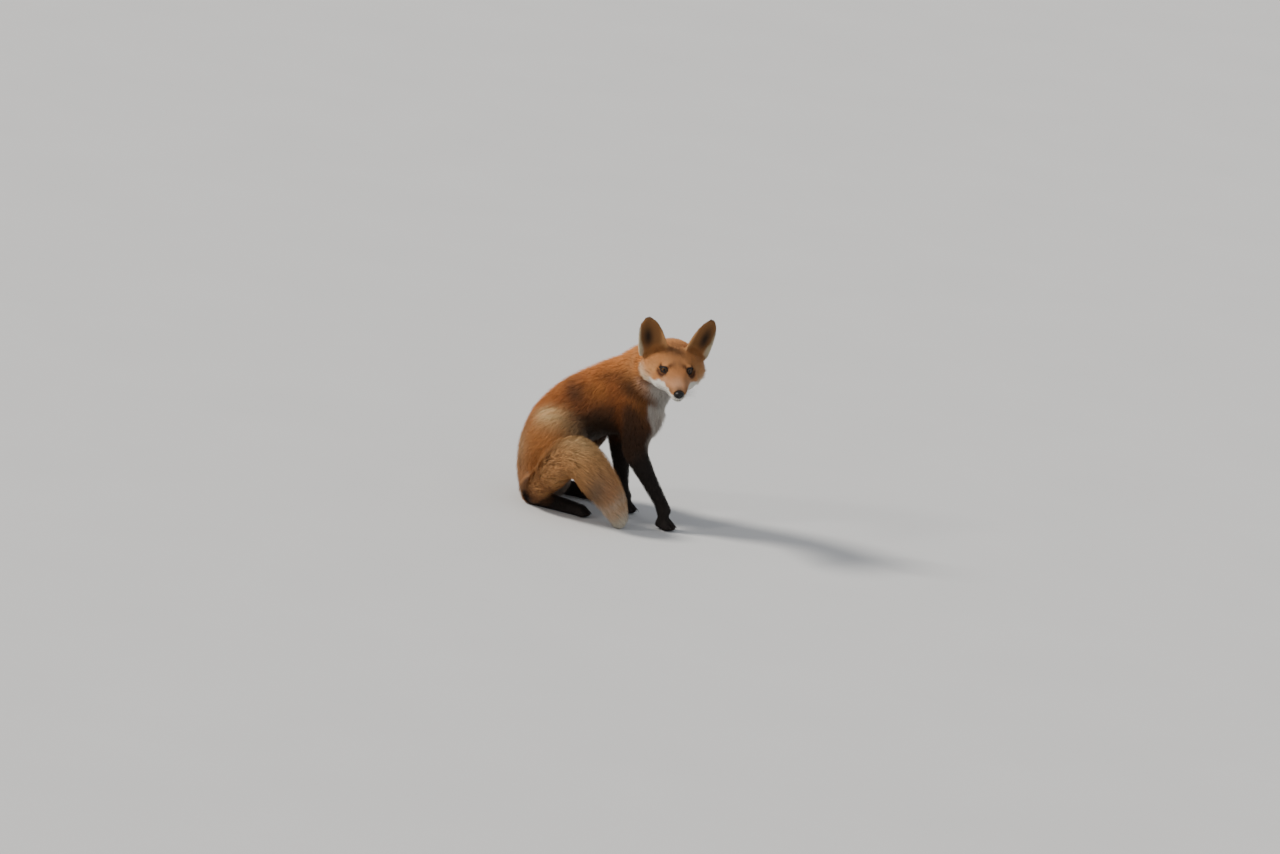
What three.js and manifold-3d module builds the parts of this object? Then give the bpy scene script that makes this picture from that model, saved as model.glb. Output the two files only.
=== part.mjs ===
// A red fox in its first autumn, life size and still, sitting with its head turned over its right shoulder.
// Units are millimetres. +X is where the chest faces, +Y is the fox's left, +Z is up, and Z 0 is the floor.
// Every surface is the outside of the coat, so the fur's tips end on it.
import * as THREE from "three";
import { mergeVertices } from "three/addons/utils/BufferGeometryUtils.js";
import Module from "manifold-3d";

const wasm = await Module();
wasm.setup();

// ---- Driving dimensions ----
const GAP = 0.5; // between two pieces that touch
const FAR = 1500; // side of the block that stands for everything beyond a cut
const SIDES = { left: 1, right: -1 };

// Trunk: rings from the rump on the floor up to the base of the neck.
const TRUNK = [
  { at: [-146, 0, 40], side: 60, up: 60, down: 60 },
  { at: [-146, 0, 100], side: 64, up: 69, down: 64 },
  { at: [-124, 0, 152], side: 61, up: 80, down: 64 },
  { at: [-88, 0, 195], side: 59, up: 83, down: 66, pinch: 0.05 },
  { at: [-40, 0, 232], side: 59, up: 84, down: 74, pinch: 0.1 },
  { at: [10, 0, 255], side: 60, up: 93, down: 92, pinch: 0.12 },
  { at: [48, 0, 268], side: 55, up: 98, down: 100, pinch: 0.1 },
];
const TRUNK_ENDS = [45, 25];
const BIB = { at: [66, -6, 232], radii: [38, 42, 64] }; // the long fur on the front of the chest

// Neck: it climbs out of the shoulders and turns towards the head.
const NECK = [
  { at: [16, 2, 272], side: 56, up: 70, down: 76 },
  { at: [50, -8, 314], side: 60, up: 67, down: 76, lateral: [-0.05, 1, 0] },
  { at: [82, -27, 343], side: 60, up: 57, down: 62, lateral: [0.3, 0.95, 0] },
  { at: [104, -46, 354], side: 50, up: 45, down: 48, lateral: [0.6, 0.8, 0] },
];
const NECK_ENDS = [30, 16];

// Head, in its own frame: X forward, Y to the fox's left, Z up, with its origin midway between the eyes.
const EYES_AT = [145.5, -110.5, 363];
const HEAD_TURN = -62.5; // degrees about Z, from where the chest faces
const HEAD_NOD = 7.5; // degrees that the muzzle points down
const HEAD_TILT = 3; // degrees that the crown leans to the fox's right
const HEAD = [
  { x: -104, z: -12, side: 50, up: 42, down: 42 },
  { x: -84, z: -14, side: 63, up: 50, down: 46, pinch: 0.05 },
  { x: -60, z: -18, side: 73, up: 54, down: 45, pinch: 0.14 },
  { x: -38, z: -21, side: 69, up: 53, down: 40, pinch: 0.18 },
  { x: -16, z: -21, side: 56, up: 44, down: 36, pinch: 0.2 },
  { x: 0, z: -20, side: 43, up: 35, down: 34, pinch: 0.18 },
  { x: 16, z: -23, side: 31, up: 28, down: 28, pinch: 0.16 },
  { x: 34, z: -27, side: 23, up: 19, down: 22, pinch: 0.1 },
  { x: 54, z: -30, side: 18, up: 14.5, down: 17 },
  { x: 66, z: -31.5, side: 14, up: 12, down: 14 },
];
const JAW = [
  { x: 2, z: -48, side: 21, up: 7, down: 9 },
  { x: 28, z: -47, side: 15.5, up: 6, down: 8 },
  { x: 50, z: -45, side: 12, up: 5, down: 6.5 },
  { x: 60, z: -44, side: 9.5, up: 4, down: 6 },
];
const NOSE = { at: [71, 0, -29], radii: [8, 10, 7.5] };
const EYE = { at: [-3, 22, -2.5], radius: 9.6 };
const EAR = {
  base: [-50, 42, 8], // middle of its foot, on the left
  height: 92,
  halfWidth: 32,
  wall: 4,
  bend: 1.2, // radians that the leaf turns each way from its middle line
  cup: 25, // depth of the hollow at the foot
  tipCup: 3, // and at the tip
  tipBack: 4, // how far the tip leans back
  fullness: 2.3, // how long the outline stays wide
  bluntness: 0.52, // how quickly it closes at the tip
  lip: 0.03, // share of the height by which the front face is shorter
  rake: 4, // degrees
};
const EAR_POSES = { left: { lean: 19, turn: 24 }, right: { lean: 13, turn: 10 } };

// Forelegs: x and z of each joint, in the plane of the leg.
const FORELEGS = {
  right: { elbow: [52, 150], wrist: [129, 54], toe: [160, 14] },
  left: { elbow: [-10, 150], wrist: [16, 48], toe: [47, 14] },
};
const FOREPAW_Y = 35;
// Hind legs: x, distance from the middle, z.
const KNEE = [-54, 62, 162];
const HOCK = [-138, 66, 40];
const HIND_TOE = [-16, 76, 14];

// Tail: it leaves the rump, turns round the right hind foot, rises over it and ends by the forepaws.
const TAIL = [
  { at: [-166, -10, 44], side: 26, up: 28, down: 28 },
  { at: [-156, -52, 33], side: 29, up: 31, down: 34, lateral: [1, 0.3, 0] },
  { at: [-126, -92, 48], side: 32, up: 35, down: 38, lateral: [0.7, 0.7, 0] },
  { at: [-94, -118, 88], side: 38, up: 39, down: 42, lateral: [0.5, 0.85, 0] },
  { at: [-68, -128, 126], side: 44, up: 45, down: 46, lateral: [0.3, 0.95, 0] },
  { at: [-36, -134, 137], side: 48, up: 51, down: 50 },
  { at: [-5, -132, 118], side: 47, up: 48, down: 48 },
  { at: [24, -123, 87], side: 41, up: 42, down: 43 },
  { at: [48, -112, 53], side: 32, up: 34, down: 34 },
  { at: [68, -102, 16], side: 18, up: 19, down: 22 },
];

// Planes that part one body into its named pieces: a point, and the normal towards the piece beyond.
const NECK_CUT = { at: [30, 0, 300], normal: [0.62, -0.15, 0.78] };
const CHEST_CUT = { at: [-60, 0, 215], normal: [0.78, 0, 0.62] };
const RUMP_CUT = { at: [-128, 0, 140], normal: [0.4, 0, 0.92] };
const TAIL_CUTS = [
  { name: "tail_root", at: [-118, -104, 62], normal: [0.7, -0.4, 0.55] },
  { name: "tail_middle", at: [-8, -134, 122], normal: [0.92, 0.05, -0.3] },
  { name: "tail_end", at: [50, -116, 62], normal: [0.62, 0.3, -0.72] },
];

const COLOURS = {
  red: 0xa8571f,
  white: 0xd9cfc0,
  black: 0x1d1815,
  nose: 0x141211,
  eye: 0x8a5a1c,
  brush: 0xb07a4c,
};
const ROUGHNESS = { nose: 0.45, eye: 0.1 };
const FUR_ROUGHNESS = 0.9;

// ---- Solids ----

// A closed three.js geometry as a solid that can be joined and cut.
function solidOf(geometry, matrix = new THREE.Matrix4()) {
  const bare = geometry.clone().applyMatrix4(matrix);
  bare.deleteAttribute("normal");
  bare.deleteAttribute("uv");
  const merged = mergeVertices(bare, 1e-3);
  return new wasm.Manifold(
    new wasm.Mesh({
      numProp: 3,
      vertProperties: new Float32Array(merged.attributes.position.array),
      triVerts: new Uint32Array(merged.index.array),
    }),
  );
}

function geometryOf(solid) {
  const mesh = solid.getMesh();
  const geometry = new THREE.BufferGeometry();
  geometry.setAttribute("position", new THREE.BufferAttribute(mesh.vertProperties, 3));
  geometry.setIndex(new THREE.BufferAttribute(mesh.triVerts, 1));
  geometry.computeVertexNormals();
  return geometry;
}

function largest(solid) {
  return solid.decompose().reduce((a, b) => (a.volume() > b.volume() ? a : b));
}

// The main body that is left of a solid once its neighbours are cut out of it.
function fitted(solid, ...neighbours) {
  return largest(neighbours.reduce((left, neighbour) => left.subtract(neighbour), solid));
}

// Everything on the side of a plane that its normal points to.
function beyond(point, normal, margin = 0) {
  const n = new THREE.Vector3(...normal).normalize();
  const centre = new THREE.Vector3(...point).addScaledVector(n, FAR / 2 + margin);
  const turn = new THREE.Quaternion().setFromUnitVectors(new THREE.Vector3(0, 0, 1), n);
  const placed = new THREE.Matrix4().compose(centre, turn, new THREE.Vector3(1, 1, 1));
  return solidOf(new THREE.BoxGeometry(FAR, FAR, FAR), placed);
}

// The two sides of a thin cut: what lies behind the plane, and what lies beyond it.
function parted(solid, point, normal) {
  const back = normal.map((v) => -v);
  const behind = fitted(solid, beyond(point, normal, -GAP / 2));
  return [behind, fitted(solid, beyond(point, back, -GAP / 2))];
}

function onFloor(solid) {
  return fitted(solid, beyond([0, 0, 0], [0, 0, -1]));
}

function ellipsoid(at, radii, around, rows) {
  const placed = new THREE.Matrix4().compose(
    new THREE.Vector3(...at),
    new THREE.Quaternion(),
    new THREE.Vector3(...radii),
  );
  return solidOf(new THREE.SphereGeometry(1, around, rows), placed);
}

// A body of oval rings along a smooth line, with a dome at each end.
// A station gives the ring's centre, its half width, and its reach to the back and to the belly.
// pinch makes the ring narrower towards the back; lateral is the ring's sideways direction.
const DOME_RINGS = [0.94, 0.62]; // their sizes, from the end ring to the pole
function loft(stations, { around = 14, steps = 2, ends = [20, 20], grow = 0 } = {}) {
  const curve = (pick) => new THREE.CatmullRomCurve3(stations.map((s) => new THREE.Vector3(...pick(s))));
  const line = curve((s) => s.at);
  const reach = curve((s) => [s.side, s.up, s.down]);
  const looks = curve((s) => s.lateral ?? [0, 1, 0]);
  const pinches = curve((s) => [s.pinch ?? 0, 0, 0]);
  const positions = [];
  const ring = (t, slide, scale) => {
    const tangent = line.getTangent(t);
    const centre = line.getPoint(t).addScaledVector(tangent, slide);
    const size = reach.getPoint(t);
    const lateral = looks.getPoint(t);
    lateral.addScaledVector(tangent, -lateral.dot(tangent)).normalize();
    const dorsal = new THREE.Vector3().crossVectors(tangent, lateral);
    const pinch = pinches.getPoint(t).x;
    for (let i = 0; i < around; i++) {
      const c = Math.cos((2 * Math.PI * i) / around);
      const s = Math.sin((2 * Math.PI * i) / around);
      const wide = (size.x + grow) * scale * (1 - pinch * s);
      const high = ((s > 0 ? size.y : size.z) + grow) * scale;
      positions.push(centre.clone().addScaledVector(lateral, wide * c).addScaledVector(dorsal, high * s));
    }
  };
  const reaches = [-(ends[0] + grow), ends[1] + grow];
  const dome = (t, scale) => ring(t, reaches[t] * Math.sqrt(1 - scale * scale), scale);
  const spans = (stations.length - 1) * steps;
  [...DOME_RINGS].reverse().forEach((scale) => dome(0, scale));
  for (let k = 0; k <= spans; k++) ring(k / spans, 0, 1);
  DOME_RINGS.forEach((scale) => dome(1, scale));
  const rings = positions.length / around;
  const poles = [0, 1].map((t) => line.getPoint(t).addScaledVector(line.getTangent(t), reaches[t]));
  const first = positions.push(...poles) - 2;
  const index = [];
  for (let i = 0; i < around; i++) {
    const j = (i + 1) % around;
    const end = (rings - 1) * around;
    index.push(first, j, i, end + i, end + j, first + 1);
    for (let a = 0; a < end; a += around) {
      index.push(a + i, a + j, a + around + j, a + i, a + around + j, a + around + i);
    }
  }
  return solidOf(new THREE.BufferGeometry().setFromPoints(positions).setIndex(index));
}

// ---- Trunk, neck and tail ----
const trunk = (grow = 0) => loft(TRUNK, { around: 16, ends: TRUNK_ENDS, grow });
const neck = (grow = 0) => loft(NECK, { around: 16, ends: NECK_ENDS, grow });
const bib = ellipsoid(BIB.at, BIB.radii, 12, 8);
const tail = (grow = 0) => loft(TAIL, { around: 12, ends: [14, 14], grow });

// ---- Head ----
const alongHead = (rings) => rings.map(({ x, z, ...sizes }) => ({ at: [x, 0, z], ...sizes }));
const skull = (grow = 0) => loft(alongHead(HEAD), { around: 16, steps: 1, ends: [26, 6], grow });
const jaw = (grow = 0) => loft(alongHead(JAW), { around: 8, steps: 1, ends: [10, 5], grow });
const nosePad = (grow = 0) => ellipsoid(NOSE.at, NOSE.radii.map((r) => r + grow), 8, 6);
function eyeball(side, grow = 0) {
  const [x, y, z] = EYE.at;
  return ellipsoid([x, side * y, z], Array(3).fill(EYE.radius + grow), 8, 6);
}

// An ear is a leaf bent round its long axis: a back face, and a front face one wall inside it.
const EAR_ROWS = 6;
const EAR_COLUMNS = 6;
const EAR_TIP = 0.985; // the last row stops just short of a point
function earLeaf() {
  const { height, halfWidth, wall, bend, cup, tipCup, tipBack, fullness, bluntness, lip } = EAR;
  const points = [];
  const leaf = (inset) => {
    for (let r = 0; r <= EAR_ROWS; r++) {
      const v = Math.min(r / EAR_ROWS, EAR_TIP);
      const half = halfWidth * Math.pow(1 - Math.pow(v, fullness), bluntness) - inset / 2;
      const depth = THREE.MathUtils.lerp(cup, tipCup, v);
      const up = height * v * (1 - (lip * inset) / wall);
      for (let c = 0; c <= EAR_COLUMNS; c++) {
        const angle = ((2 * c) / EAR_COLUMNS - 1) * bend;
        const hollow = depth * (Math.cos(angle) - Math.cos(bend)) - tipBack * v * v;
        const across = (half * Math.sin(angle)) / Math.sin(bend);
        points.push(new THREE.Vector3(inset - hollow, across, up));
      }
    }
  };
  leaf(0);
  leaf(wall);
  const index = [];
  const quad = (a, b, c, d) => index.push(a, b, c, a, c, d);
  const row = EAR_COLUMNS + 1;
  const front = row * (EAR_ROWS + 1);
  for (let r = 0; r < EAR_ROWS; r++) {
    const start = r * row;
    const end = start + EAR_COLUMNS;
    quad(start, front + start, front + start + row, start + row);
    quad(end, end + row, front + end + row, front + end);
    for (let a = start; a < end; a++) {
      quad(a, a + row, a + row + 1, a + 1);
      quad(front + a, front + a + 1, front + a + row + 1, front + a + row);
    }
  }
  for (let c = 0; c < EAR_COLUMNS; c++) {
    const tip = EAR_ROWS * row + c;
    quad(c, c + 1, front + c + 1, front + c);
    quad(tip, front + tip, front + tip + 1, tip + 1);
  }
  return new THREE.BufferGeometry().setFromPoints(points).setIndex(index);
}
function ear(side, { lean, turn }) {
  const [x, y, z] = EAR.base;
  const angles = [-side * lean, EAR.rake, side * turn].map(THREE.MathUtils.degToRad);
  const turned = new THREE.Quaternion().setFromEuler(new THREE.Euler(...angles, "ZXY"));
  const at = new THREE.Vector3(x, side * y, z);
  return solidOf(earLeaf(), new THREE.Matrix4().compose(at, turned, new THREE.Vector3(1, 1, 1)));
}

// ---- Legs ----
// A paw is a sole and four toes; length runs from its back to the toes, lift is how high its back is.
const TOE_SPACING = 8.6;
const TOE_RADII = [13, 6.2, 11];
const TOES = [
  { across: -1.5, ahead: -11 },
  { across: -0.5, ahead: -3 },
  { across: 0.5, ahead: -3 },
  { across: 1.5, ahead: -11 },
];
function paw([x, y, z], length, lift, grow = 0) {
  const sole = loft(
    [
      { at: [x - length, y, z + lift], side: 13, up: 13, down: 14 + lift },
      { at: [x - (length + 12) / 2, y, z + lift / 2], side: 15, up: 13, down: 15 + lift / 2 },
      { at: [x - 12, y, z], side: 16.5, up: 12, down: 16 },
    ],
    { around: 10, steps: 1, ends: [9, 10], grow },
  );
  const radii = TOE_RADII.map((r) => r + grow);
  const toes = TOES.map(({ across, ahead }) =>
    ellipsoid([x + ahead, y + across * TOE_SPACING, z - 4.5], radii, 6, 3),
  );
  return toes.reduce((whole, toe) => whole.add(toe), sole);
}
function foreleg(name, grow = 0) {
  const side = SIDES[name];
  const { elbow, wrist, toe } = FORELEGS[name];
  const [ex, ez] = elbow;
  const [wx, wz] = wrist;
  const limb = loft(
    [
      { at: [ex * 0.4 - 16, side * 30, 292], side: 20, up: 32, down: 36 },
      { at: [ex * 0.5 + 12, side * 34, 245], side: 28, up: 44, down: 44 },
      { at: [ex * 0.8 + 14, side * 39, 196], side: 27, up: 40, down: 38 },
      { at: [ex + 4, side * 40, ez], side: 23, up: 30, down: 28 },
      { at: [(ex + wx) / 2 + 3, side * 38, (ez + wz) / 2], side: 17.5, up: 19.5, down: 20 },
      { at: [wx, side * 36, wz], side: 15, up: 16, down: 16.5 },
      { at: [wx + 10, side * FOREPAW_Y, wz - 18], side: 15, up: 16, down: 17 },
    ],
    { around: 12, steps: 1, ends: [18, 10], grow },
  );
  return limb.add(paw([toe[0], side * FOREPAW_Y, toe[1]], 26, 8, grow));
}
function thigh(side, grow = 0) {
  const stations = [
    { at: [-150, side * 38, 92], side: 32, up: 48, down: 50 },
    { at: [-124, side * 49, 138], side: 34, up: 64, down: 56 },
    { at: [-88, side * 55, 162], side: 31, up: 54, down: 48 },
    { at: [-68, side * 58, 166], side: 26, up: 40, down: 38 },
  ];
  return loft(stations, { around: 12, ends: [40, 24], grow });
}
function shank(side, grow = 0) {
  const stations = [
    { at: [KNEE[0] - 8, side * KNEE[1], KNEE[2] - 10], side: 22, up: 28, down: 26 },
    { at: [-88, side * 64, 112], side: 20, up: 26, down: 25 },
    { at: [-120, side * 65, 68], side: 15, up: 18, down: 17 },
    { at: [HOCK[0], side * HOCK[1], HOCK[2]], side: 12, up: 14, down: 14 },
  ];
  return loft(stations, { around: 10, steps: 1, ends: [16, 12], grow });
}
function hindfoot(side, grow = 0) {
  const metatarsus = loft(
    [
      { at: [HOCK[0] - 4, side * HOCK[1], 20], side: 13, up: 15, down: 23 },
      { at: [-96, side * 70, 18], side: 14, up: 15, down: 21 },
      { at: [-50, side * 74, 15], side: 15, up: 14, down: 18 },
    ],
    { around: 10, steps: 1, ends: [10, 10], grow },
  );
  return metatarsus.add(paw([HIND_TOE[0], side * HIND_TOE[1], HIND_TOE[2]], 40, 2, grow));
}

// ---- Assembly ----
function meshOf(name, solid, colour) {
  const roughness = ROUGHNESS[colour] ?? FUR_ROUGHNESS;
  const material = new THREE.MeshStandardMaterial({ color: COLOURS[colour], roughness, metalness: 0 });
  const mesh = new THREE.Mesh(geometryOf(solid), material);
  mesh.name = name;
  return mesh;
}

const fox = new THREE.Group();
const head = new THREE.Group();
const headAngles = [HEAD_TILT, HEAD_NOD, HEAD_TURN].map(THREE.MathUtils.degToRad);
head.position.set(...EYES_AT);
head.rotation.set(...headAngles, "ZYX");
head.updateMatrix();
fox.add(head);

const intoHead = head.matrix.clone().invert();
const nape = solidOf(geometryOf(neck(GAP)), intoHead);
const features = [jaw(GAP), nosePad(GAP), eyeball(1, GAP), eyeball(-1, GAP)];
head.add(meshOf("head", fitted(skull(), ...features), "red"));
head.add(meshOf("jaw", jaw(), "white"));
head.add(meshOf("nose", nosePad(), "nose"));
for (const [name, side] of Object.entries(SIDES)) {
  head.add(meshOf(`eye_${name}`, eyeball(side), "eye"));
  head.add(meshOf(`ear_${name}`, fitted(ear(side, EAR_POSES[name]), skull(GAP), nape), "red"));
}

// Legs: each foreleg is one limb in three lengths; thigh, shank and foot are fitted to each other.
// The shank is cut by the thigh and by a slightly larger one, so no sliver is left along its edge.
const legBlocks = [];
const hindBlocks = [];
for (const [name, side] of Object.entries(SIDES)) {
  const { elbow, wrist } = FORELEGS[name];
  const down = [wrist[0] - elbow[0], 0, wrist[1] - elbow[1]];
  const [upper, lower] = parted(onFloor(foreleg(name)), [elbow[0] + 4, 0, elbow[1]], down);
  const [forearm, forepaw] = parted(lower, [wrist[0] + 3, 0, wrist[1] - 6], down);
  fox.add(meshOf(`upper_arm_${name}`, upper, "red"));
  fox.add(meshOf(`forearm_${name}`, forearm, "black"));
  fox.add(meshOf(`forepaw_${name}`, forepaw, "black"));
  legBlocks.push(foreleg(name, GAP), thigh(side, GAP));
  const foot = fitted(onFloor(hindfoot(side)), thigh(side, GAP), trunk(GAP));
  const upperLeg = [thigh(side), thigh(side, 3 * GAP)];
  const lowerLeg = fitted(onFloor(shank(side)), ...upperLeg, hindfoot(side, GAP), trunk(GAP));
  fox.add(meshOf(`thigh_${name}`, onFloor(thigh(side)), "red"));
  fox.add(meshOf(`shank_${name}`, lowerLeg, "red"));
  fox.add(meshOf(`hindfoot_${name}`, foot, "black"));
  hindBlocks.push(thigh(side, GAP), shank(side, GAP), hindfoot(side, GAP));
}

// Trunk and neck are one body round the legs, parted into four.
const headBlocks = [skull(GAP), jaw(GAP)].map((solid) => solidOf(geometryOf(solid), head.matrix));
const body = fitted(onFloor(trunk().add(neck()).add(bib)), ...legBlocks, ...headBlocks);
const [shoulders, neckPiece] = parted(body, NECK_CUT.at, NECK_CUT.normal);
const [hindPart, chest] = parted(shoulders, CHEST_CUT.at, CHEST_CUT.normal);
const [rump, loin] = parted(hindPart, RUMP_CUT.at, RUMP_CUT.normal);
fox.add(meshOf("neck", neckPiece, "red"));
fox.add(meshOf("chest", chest, "red"));
fox.add(meshOf("loin", loin, "red"));
fox.add(meshOf("rump", rump, "red"));

let brush = fitted(onFloor(tail()), trunk(GAP), ...hindBlocks);
for (const { name, at, normal } of TAIL_CUTS) {
  const [piece, rest] = parted(brush, at, normal);
  fox.add(meshOf(name, piece, "brush"));
  brush = rest;
}
fox.add(meshOf("tail_tip", brush, "white"));

// The origin is on the floor, in the middle of the box that the fox fills.
const middle = new THREE.Box3().setFromObject(fox, true).getCenter(new THREE.Vector3());
fox.position.set(-middle.x, -middle.y, 0);

export default fox;
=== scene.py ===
# %% [markdown]
# # A young red fox, sitting
# A museum-style model of a red fox in its first autumn. It sits on its rump, looks back over its
# right shoulder and has its brush laid over its right hind foot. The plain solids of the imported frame
# are the outside of its coat. This lesson grows a skin inside them, gives it a face, and covers it
# with fur whose tips end where the solids do. Metres throughout, +X where the chest faces, +Z up.

# %% The frame
import math

import bmesh
import bpy
import numpy as np
from mathutils import Matrix, Vector
from mathutils.bvhtree import BVHTree
from mathutils.kdtree import KDTree


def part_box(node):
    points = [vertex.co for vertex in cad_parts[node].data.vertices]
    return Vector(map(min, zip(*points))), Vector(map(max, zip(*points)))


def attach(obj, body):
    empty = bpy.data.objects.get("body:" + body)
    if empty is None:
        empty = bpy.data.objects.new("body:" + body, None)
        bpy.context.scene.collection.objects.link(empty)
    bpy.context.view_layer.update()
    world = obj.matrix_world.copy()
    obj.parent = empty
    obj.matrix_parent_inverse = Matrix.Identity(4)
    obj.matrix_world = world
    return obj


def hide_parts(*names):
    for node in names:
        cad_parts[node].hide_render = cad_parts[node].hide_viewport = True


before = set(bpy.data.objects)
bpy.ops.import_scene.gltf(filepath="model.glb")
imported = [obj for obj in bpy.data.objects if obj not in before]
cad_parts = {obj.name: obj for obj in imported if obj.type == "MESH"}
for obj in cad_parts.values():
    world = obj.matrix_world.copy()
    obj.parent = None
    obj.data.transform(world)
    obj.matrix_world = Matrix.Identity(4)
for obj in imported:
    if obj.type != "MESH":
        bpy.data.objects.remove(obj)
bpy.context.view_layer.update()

MM = 0.001
SIDES = {"left": 1, "right": -1}
rng = np.random.default_rng(20)
print("frame:", len(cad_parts), "nodes")

# %% [markdown]
# The coat is planned part by part, as a taxidermist lists it. Each row gives how deep the fur stands
# off the skin, how long and how wide its locks are, in millimetres, and how many grow on a square
# centimetre. The order of the rows numbers the parts. On the head, three places differ from its row.

# %% The coat, part by part
COAT = {
    # part: (depth, length, width, locks per cm2)
    "head": (5.5, 14, 0.9, 48),
    "jaw": (1.8, 5, 0.45, 80),
    "ear": (1.1, 6.0, 0.42, 60),
    "neck": (14, 29, 1.3, 38),
    "chest": (14, 29, 1.35, 36),
    "loin": (12, 28, 1.35, 34),
    "rump": (12, 27, 1.35, 31),
    "upper_arm": (8, 19, 1.1, 32),
    "forearm": (3.6, 12, 0.9, 29),
    "forepaw": (2.0, 6.0, 0.7, 40),
    "thigh": (10, 24, 1.3, 32),
    "shank": (5, 14, 1.0, 27),
    "hindfoot": (2.6, 8, 0.8, 28),
    "tail_root": (14, 32, 1.3, 54),
    "tail_middle": (18, 36, 1.25, 43),
    "tail_end": (17, 34, 1.25, 40),
    "tail_tip": (12, 28, 1.1, 40),
}
FACE_COAT = (2.3, 7.5, 0.52, 100)
MUZZLE_COAT = (1.3, 4.6, 0.36, 145)
RUFF_COAT = (13, 24, 1.2, 38)
PARTS = list(COAT)
DEPTH, LENGTH, WIDTH, DENSITY = range(4)


def part_of(node):
    return node.replace("_left", "").replace("_right", "")


def in_parts(parts, *names):
    """Which of these part numbers are one of the named parts."""
    return np.isin(parts, [PARTS.index(name) for name in names])


FLESH = [node for node in sorted(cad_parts) if part_of(node) in COAT]
PART_OF_FLESH = np.array([PARTS.index(part_of(node)) for node in FLESH])
print("flesh nodes:", len(FLESH))

# %% [markdown]
# A few small tools on arrays come first. A mesh is read as points, edges and triangles. To relax a
# value is to draw it towards the mean of its neighbours, which rounds a shape or blends a marking.

# %% Tools on arrays
def read_points(mesh):
    flat = np.empty(len(mesh.vertices) * 3, np.float32)
    mesh.vertices.foreach_get("co", flat)
    return flat.reshape(-1, 3).astype(float)


def read_edges(mesh):
    flat = np.empty(len(mesh.edges) * 2, np.int32)
    mesh.edges.foreach_get("vertices", flat)
    return flat.reshape(-1, 2)


def read_triangles(mesh):
    mesh.calc_loop_triangles()
    flat = np.empty(len(mesh.loop_triangles) * 3, np.int32)
    mesh.loop_triangles.foreach_get("vertices", flat)
    return flat.reshape(-1, 3)


def write_points(mesh, points):
    mesh.vertices.foreach_set("co", np.ascontiguousarray(points, np.float32).ravel())
    mesh.update()


def unit(vectors):
    return vectors / np.maximum(np.linalg.norm(vectors, axis=-1, keepdims=True), 1e-12)


def point_normals(points, triangles):
    a, b, c = (points[triangles[:, k]] for k in range(3))
    faces = np.cross(b - a, c - a)
    total = np.zeros_like(points)
    for corner in range(3):
        for axis in range(3):
            total[:, axis] += np.bincount(triangles[:, corner], faces[:, axis], len(points))
    return unit(total)


def relax(values, edges, rounds, share=0.5):
    """Each round draws every row of values towards the mean of its neighbours' by share."""
    a, b = edges.T
    count = np.maximum(np.bincount(edges.ravel(), minlength=len(values)), 1)[:, None]
    share = np.reshape(share, (-1, 1))
    for _ in range(rounds):
        sums = [
            np.bincount(a, values[b, k], len(values)) + np.bincount(b, values[a, k], len(values))
            for k in range(values.shape[1])
        ]
        values = values + share * (np.stack(sums, 1) / count - values)
    return values


def smooth(low, high, x):
    """A soft step from 0 at low to 1 at high; low may be the greater of the two."""
    t = np.clip((x - low) / (high - low), 0, 1)
    return t * t * (3 - 2 * t)


def mix(a, b, share):
    """From a to b, by one share for each row."""
    gap = np.asarray(b) - np.asarray(a)
    return a + gap * (share[:, None] if gap.ndim > 1 or np.shape(a) != np.shape(share) else share)


def ripple(points, size, seed):
    """A smooth random value, from about -1 to 1, that changes over a distance of size."""
    draw = np.random.default_rng(seed)
    waves = unit(draw.normal(size=(7, 3))) * draw.uniform(0.6, 1.6, (7, 1)) * math.tau / (2 * size)
    return np.sin(points @ waves.T + draw.uniform(0, math.tau, 7)).sum(1) / 3


# %% [markdown]
# The head has a frame of its own, because the face is laid out in it: millimetres from the point
# midway between the eyeballs, X forward, Y to the fox's left and Z up through the crown. The eyeballs
# give the sideways line, and the nose lies a known angle below the way the head points.

# %% The head's frame
NOSE_DROP = math.radians(19.7)


def node_centre(node):
    return np.unique(read_points(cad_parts[node].data).round(7), axis=0).mean(0)


def node_box(node):
    return (np.array(corner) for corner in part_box(node))


eye_centres = {name: node_centre(f"eye_{name}") for name in SIDES}
head_origin = (eye_centres["left"] + eye_centres["right"]) / 2
head_left = unit(eye_centres["left"] - eye_centres["right"])
to_nose = node_centre("nose") - head_origin
to_nose = unit(to_nose - head_left * (to_nose @ head_left))
nose_up = np.cross(to_nose, head_left)
head_forward = math.cos(NOSE_DROP) * to_nose + math.sin(NOSE_DROP) * nose_up
head_up = np.cross(head_forward, head_left)
HEAD_AXES = np.stack([head_forward, head_left, head_up], 1)


def to_head(points):
    return (points - head_origin) @ HEAD_AXES / MM


def from_head(points):
    return np.asarray(points) @ HEAD_AXES.T * MM + head_origin


nose_at = to_head(node_centre("nose"))
eye_half = to_head(eye_centres["left"])[1]
print("nose, in the head's frame:", nose_at.round(1), "half the eyes' distance:", round(eye_half, 1))

# %% [markdown]
# On the real animal one skin runs over everything but the eyes, the nose and the claws. The solids
# are parted by thin cuts, so each is grown by a little over half a millimetre to close them, and a
# voxel remesh takes the outside of the lot as one closed surface. Relaxing it wears off the facets.

# %% One surface over all the flesh
VOXEL = 2.3 * MM
GROW = 0.6 * MM
GIVE = {"ear": 0.12, "forepaw": 0.3, "hindfoot": 0.3, "jaw": 0.35, "head": 0.6}  # 1 elsewhere
FACET_ROUNDS = 14


def solid_of(node):
    bm = bmesh.new()
    bm.from_mesh(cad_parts[node].data)
    bmesh.ops.remove_doubles(bm, verts=bm.verts, dist=1e-6)
    bmesh.ops.triangulate(bm, faces=bm.faces)
    points = np.array([v.co for v in bm.verts], float)
    triangles = np.array([[v.index for v in f.verts] for f in bm.faces])
    bm.free()
    return points, triangles


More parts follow.
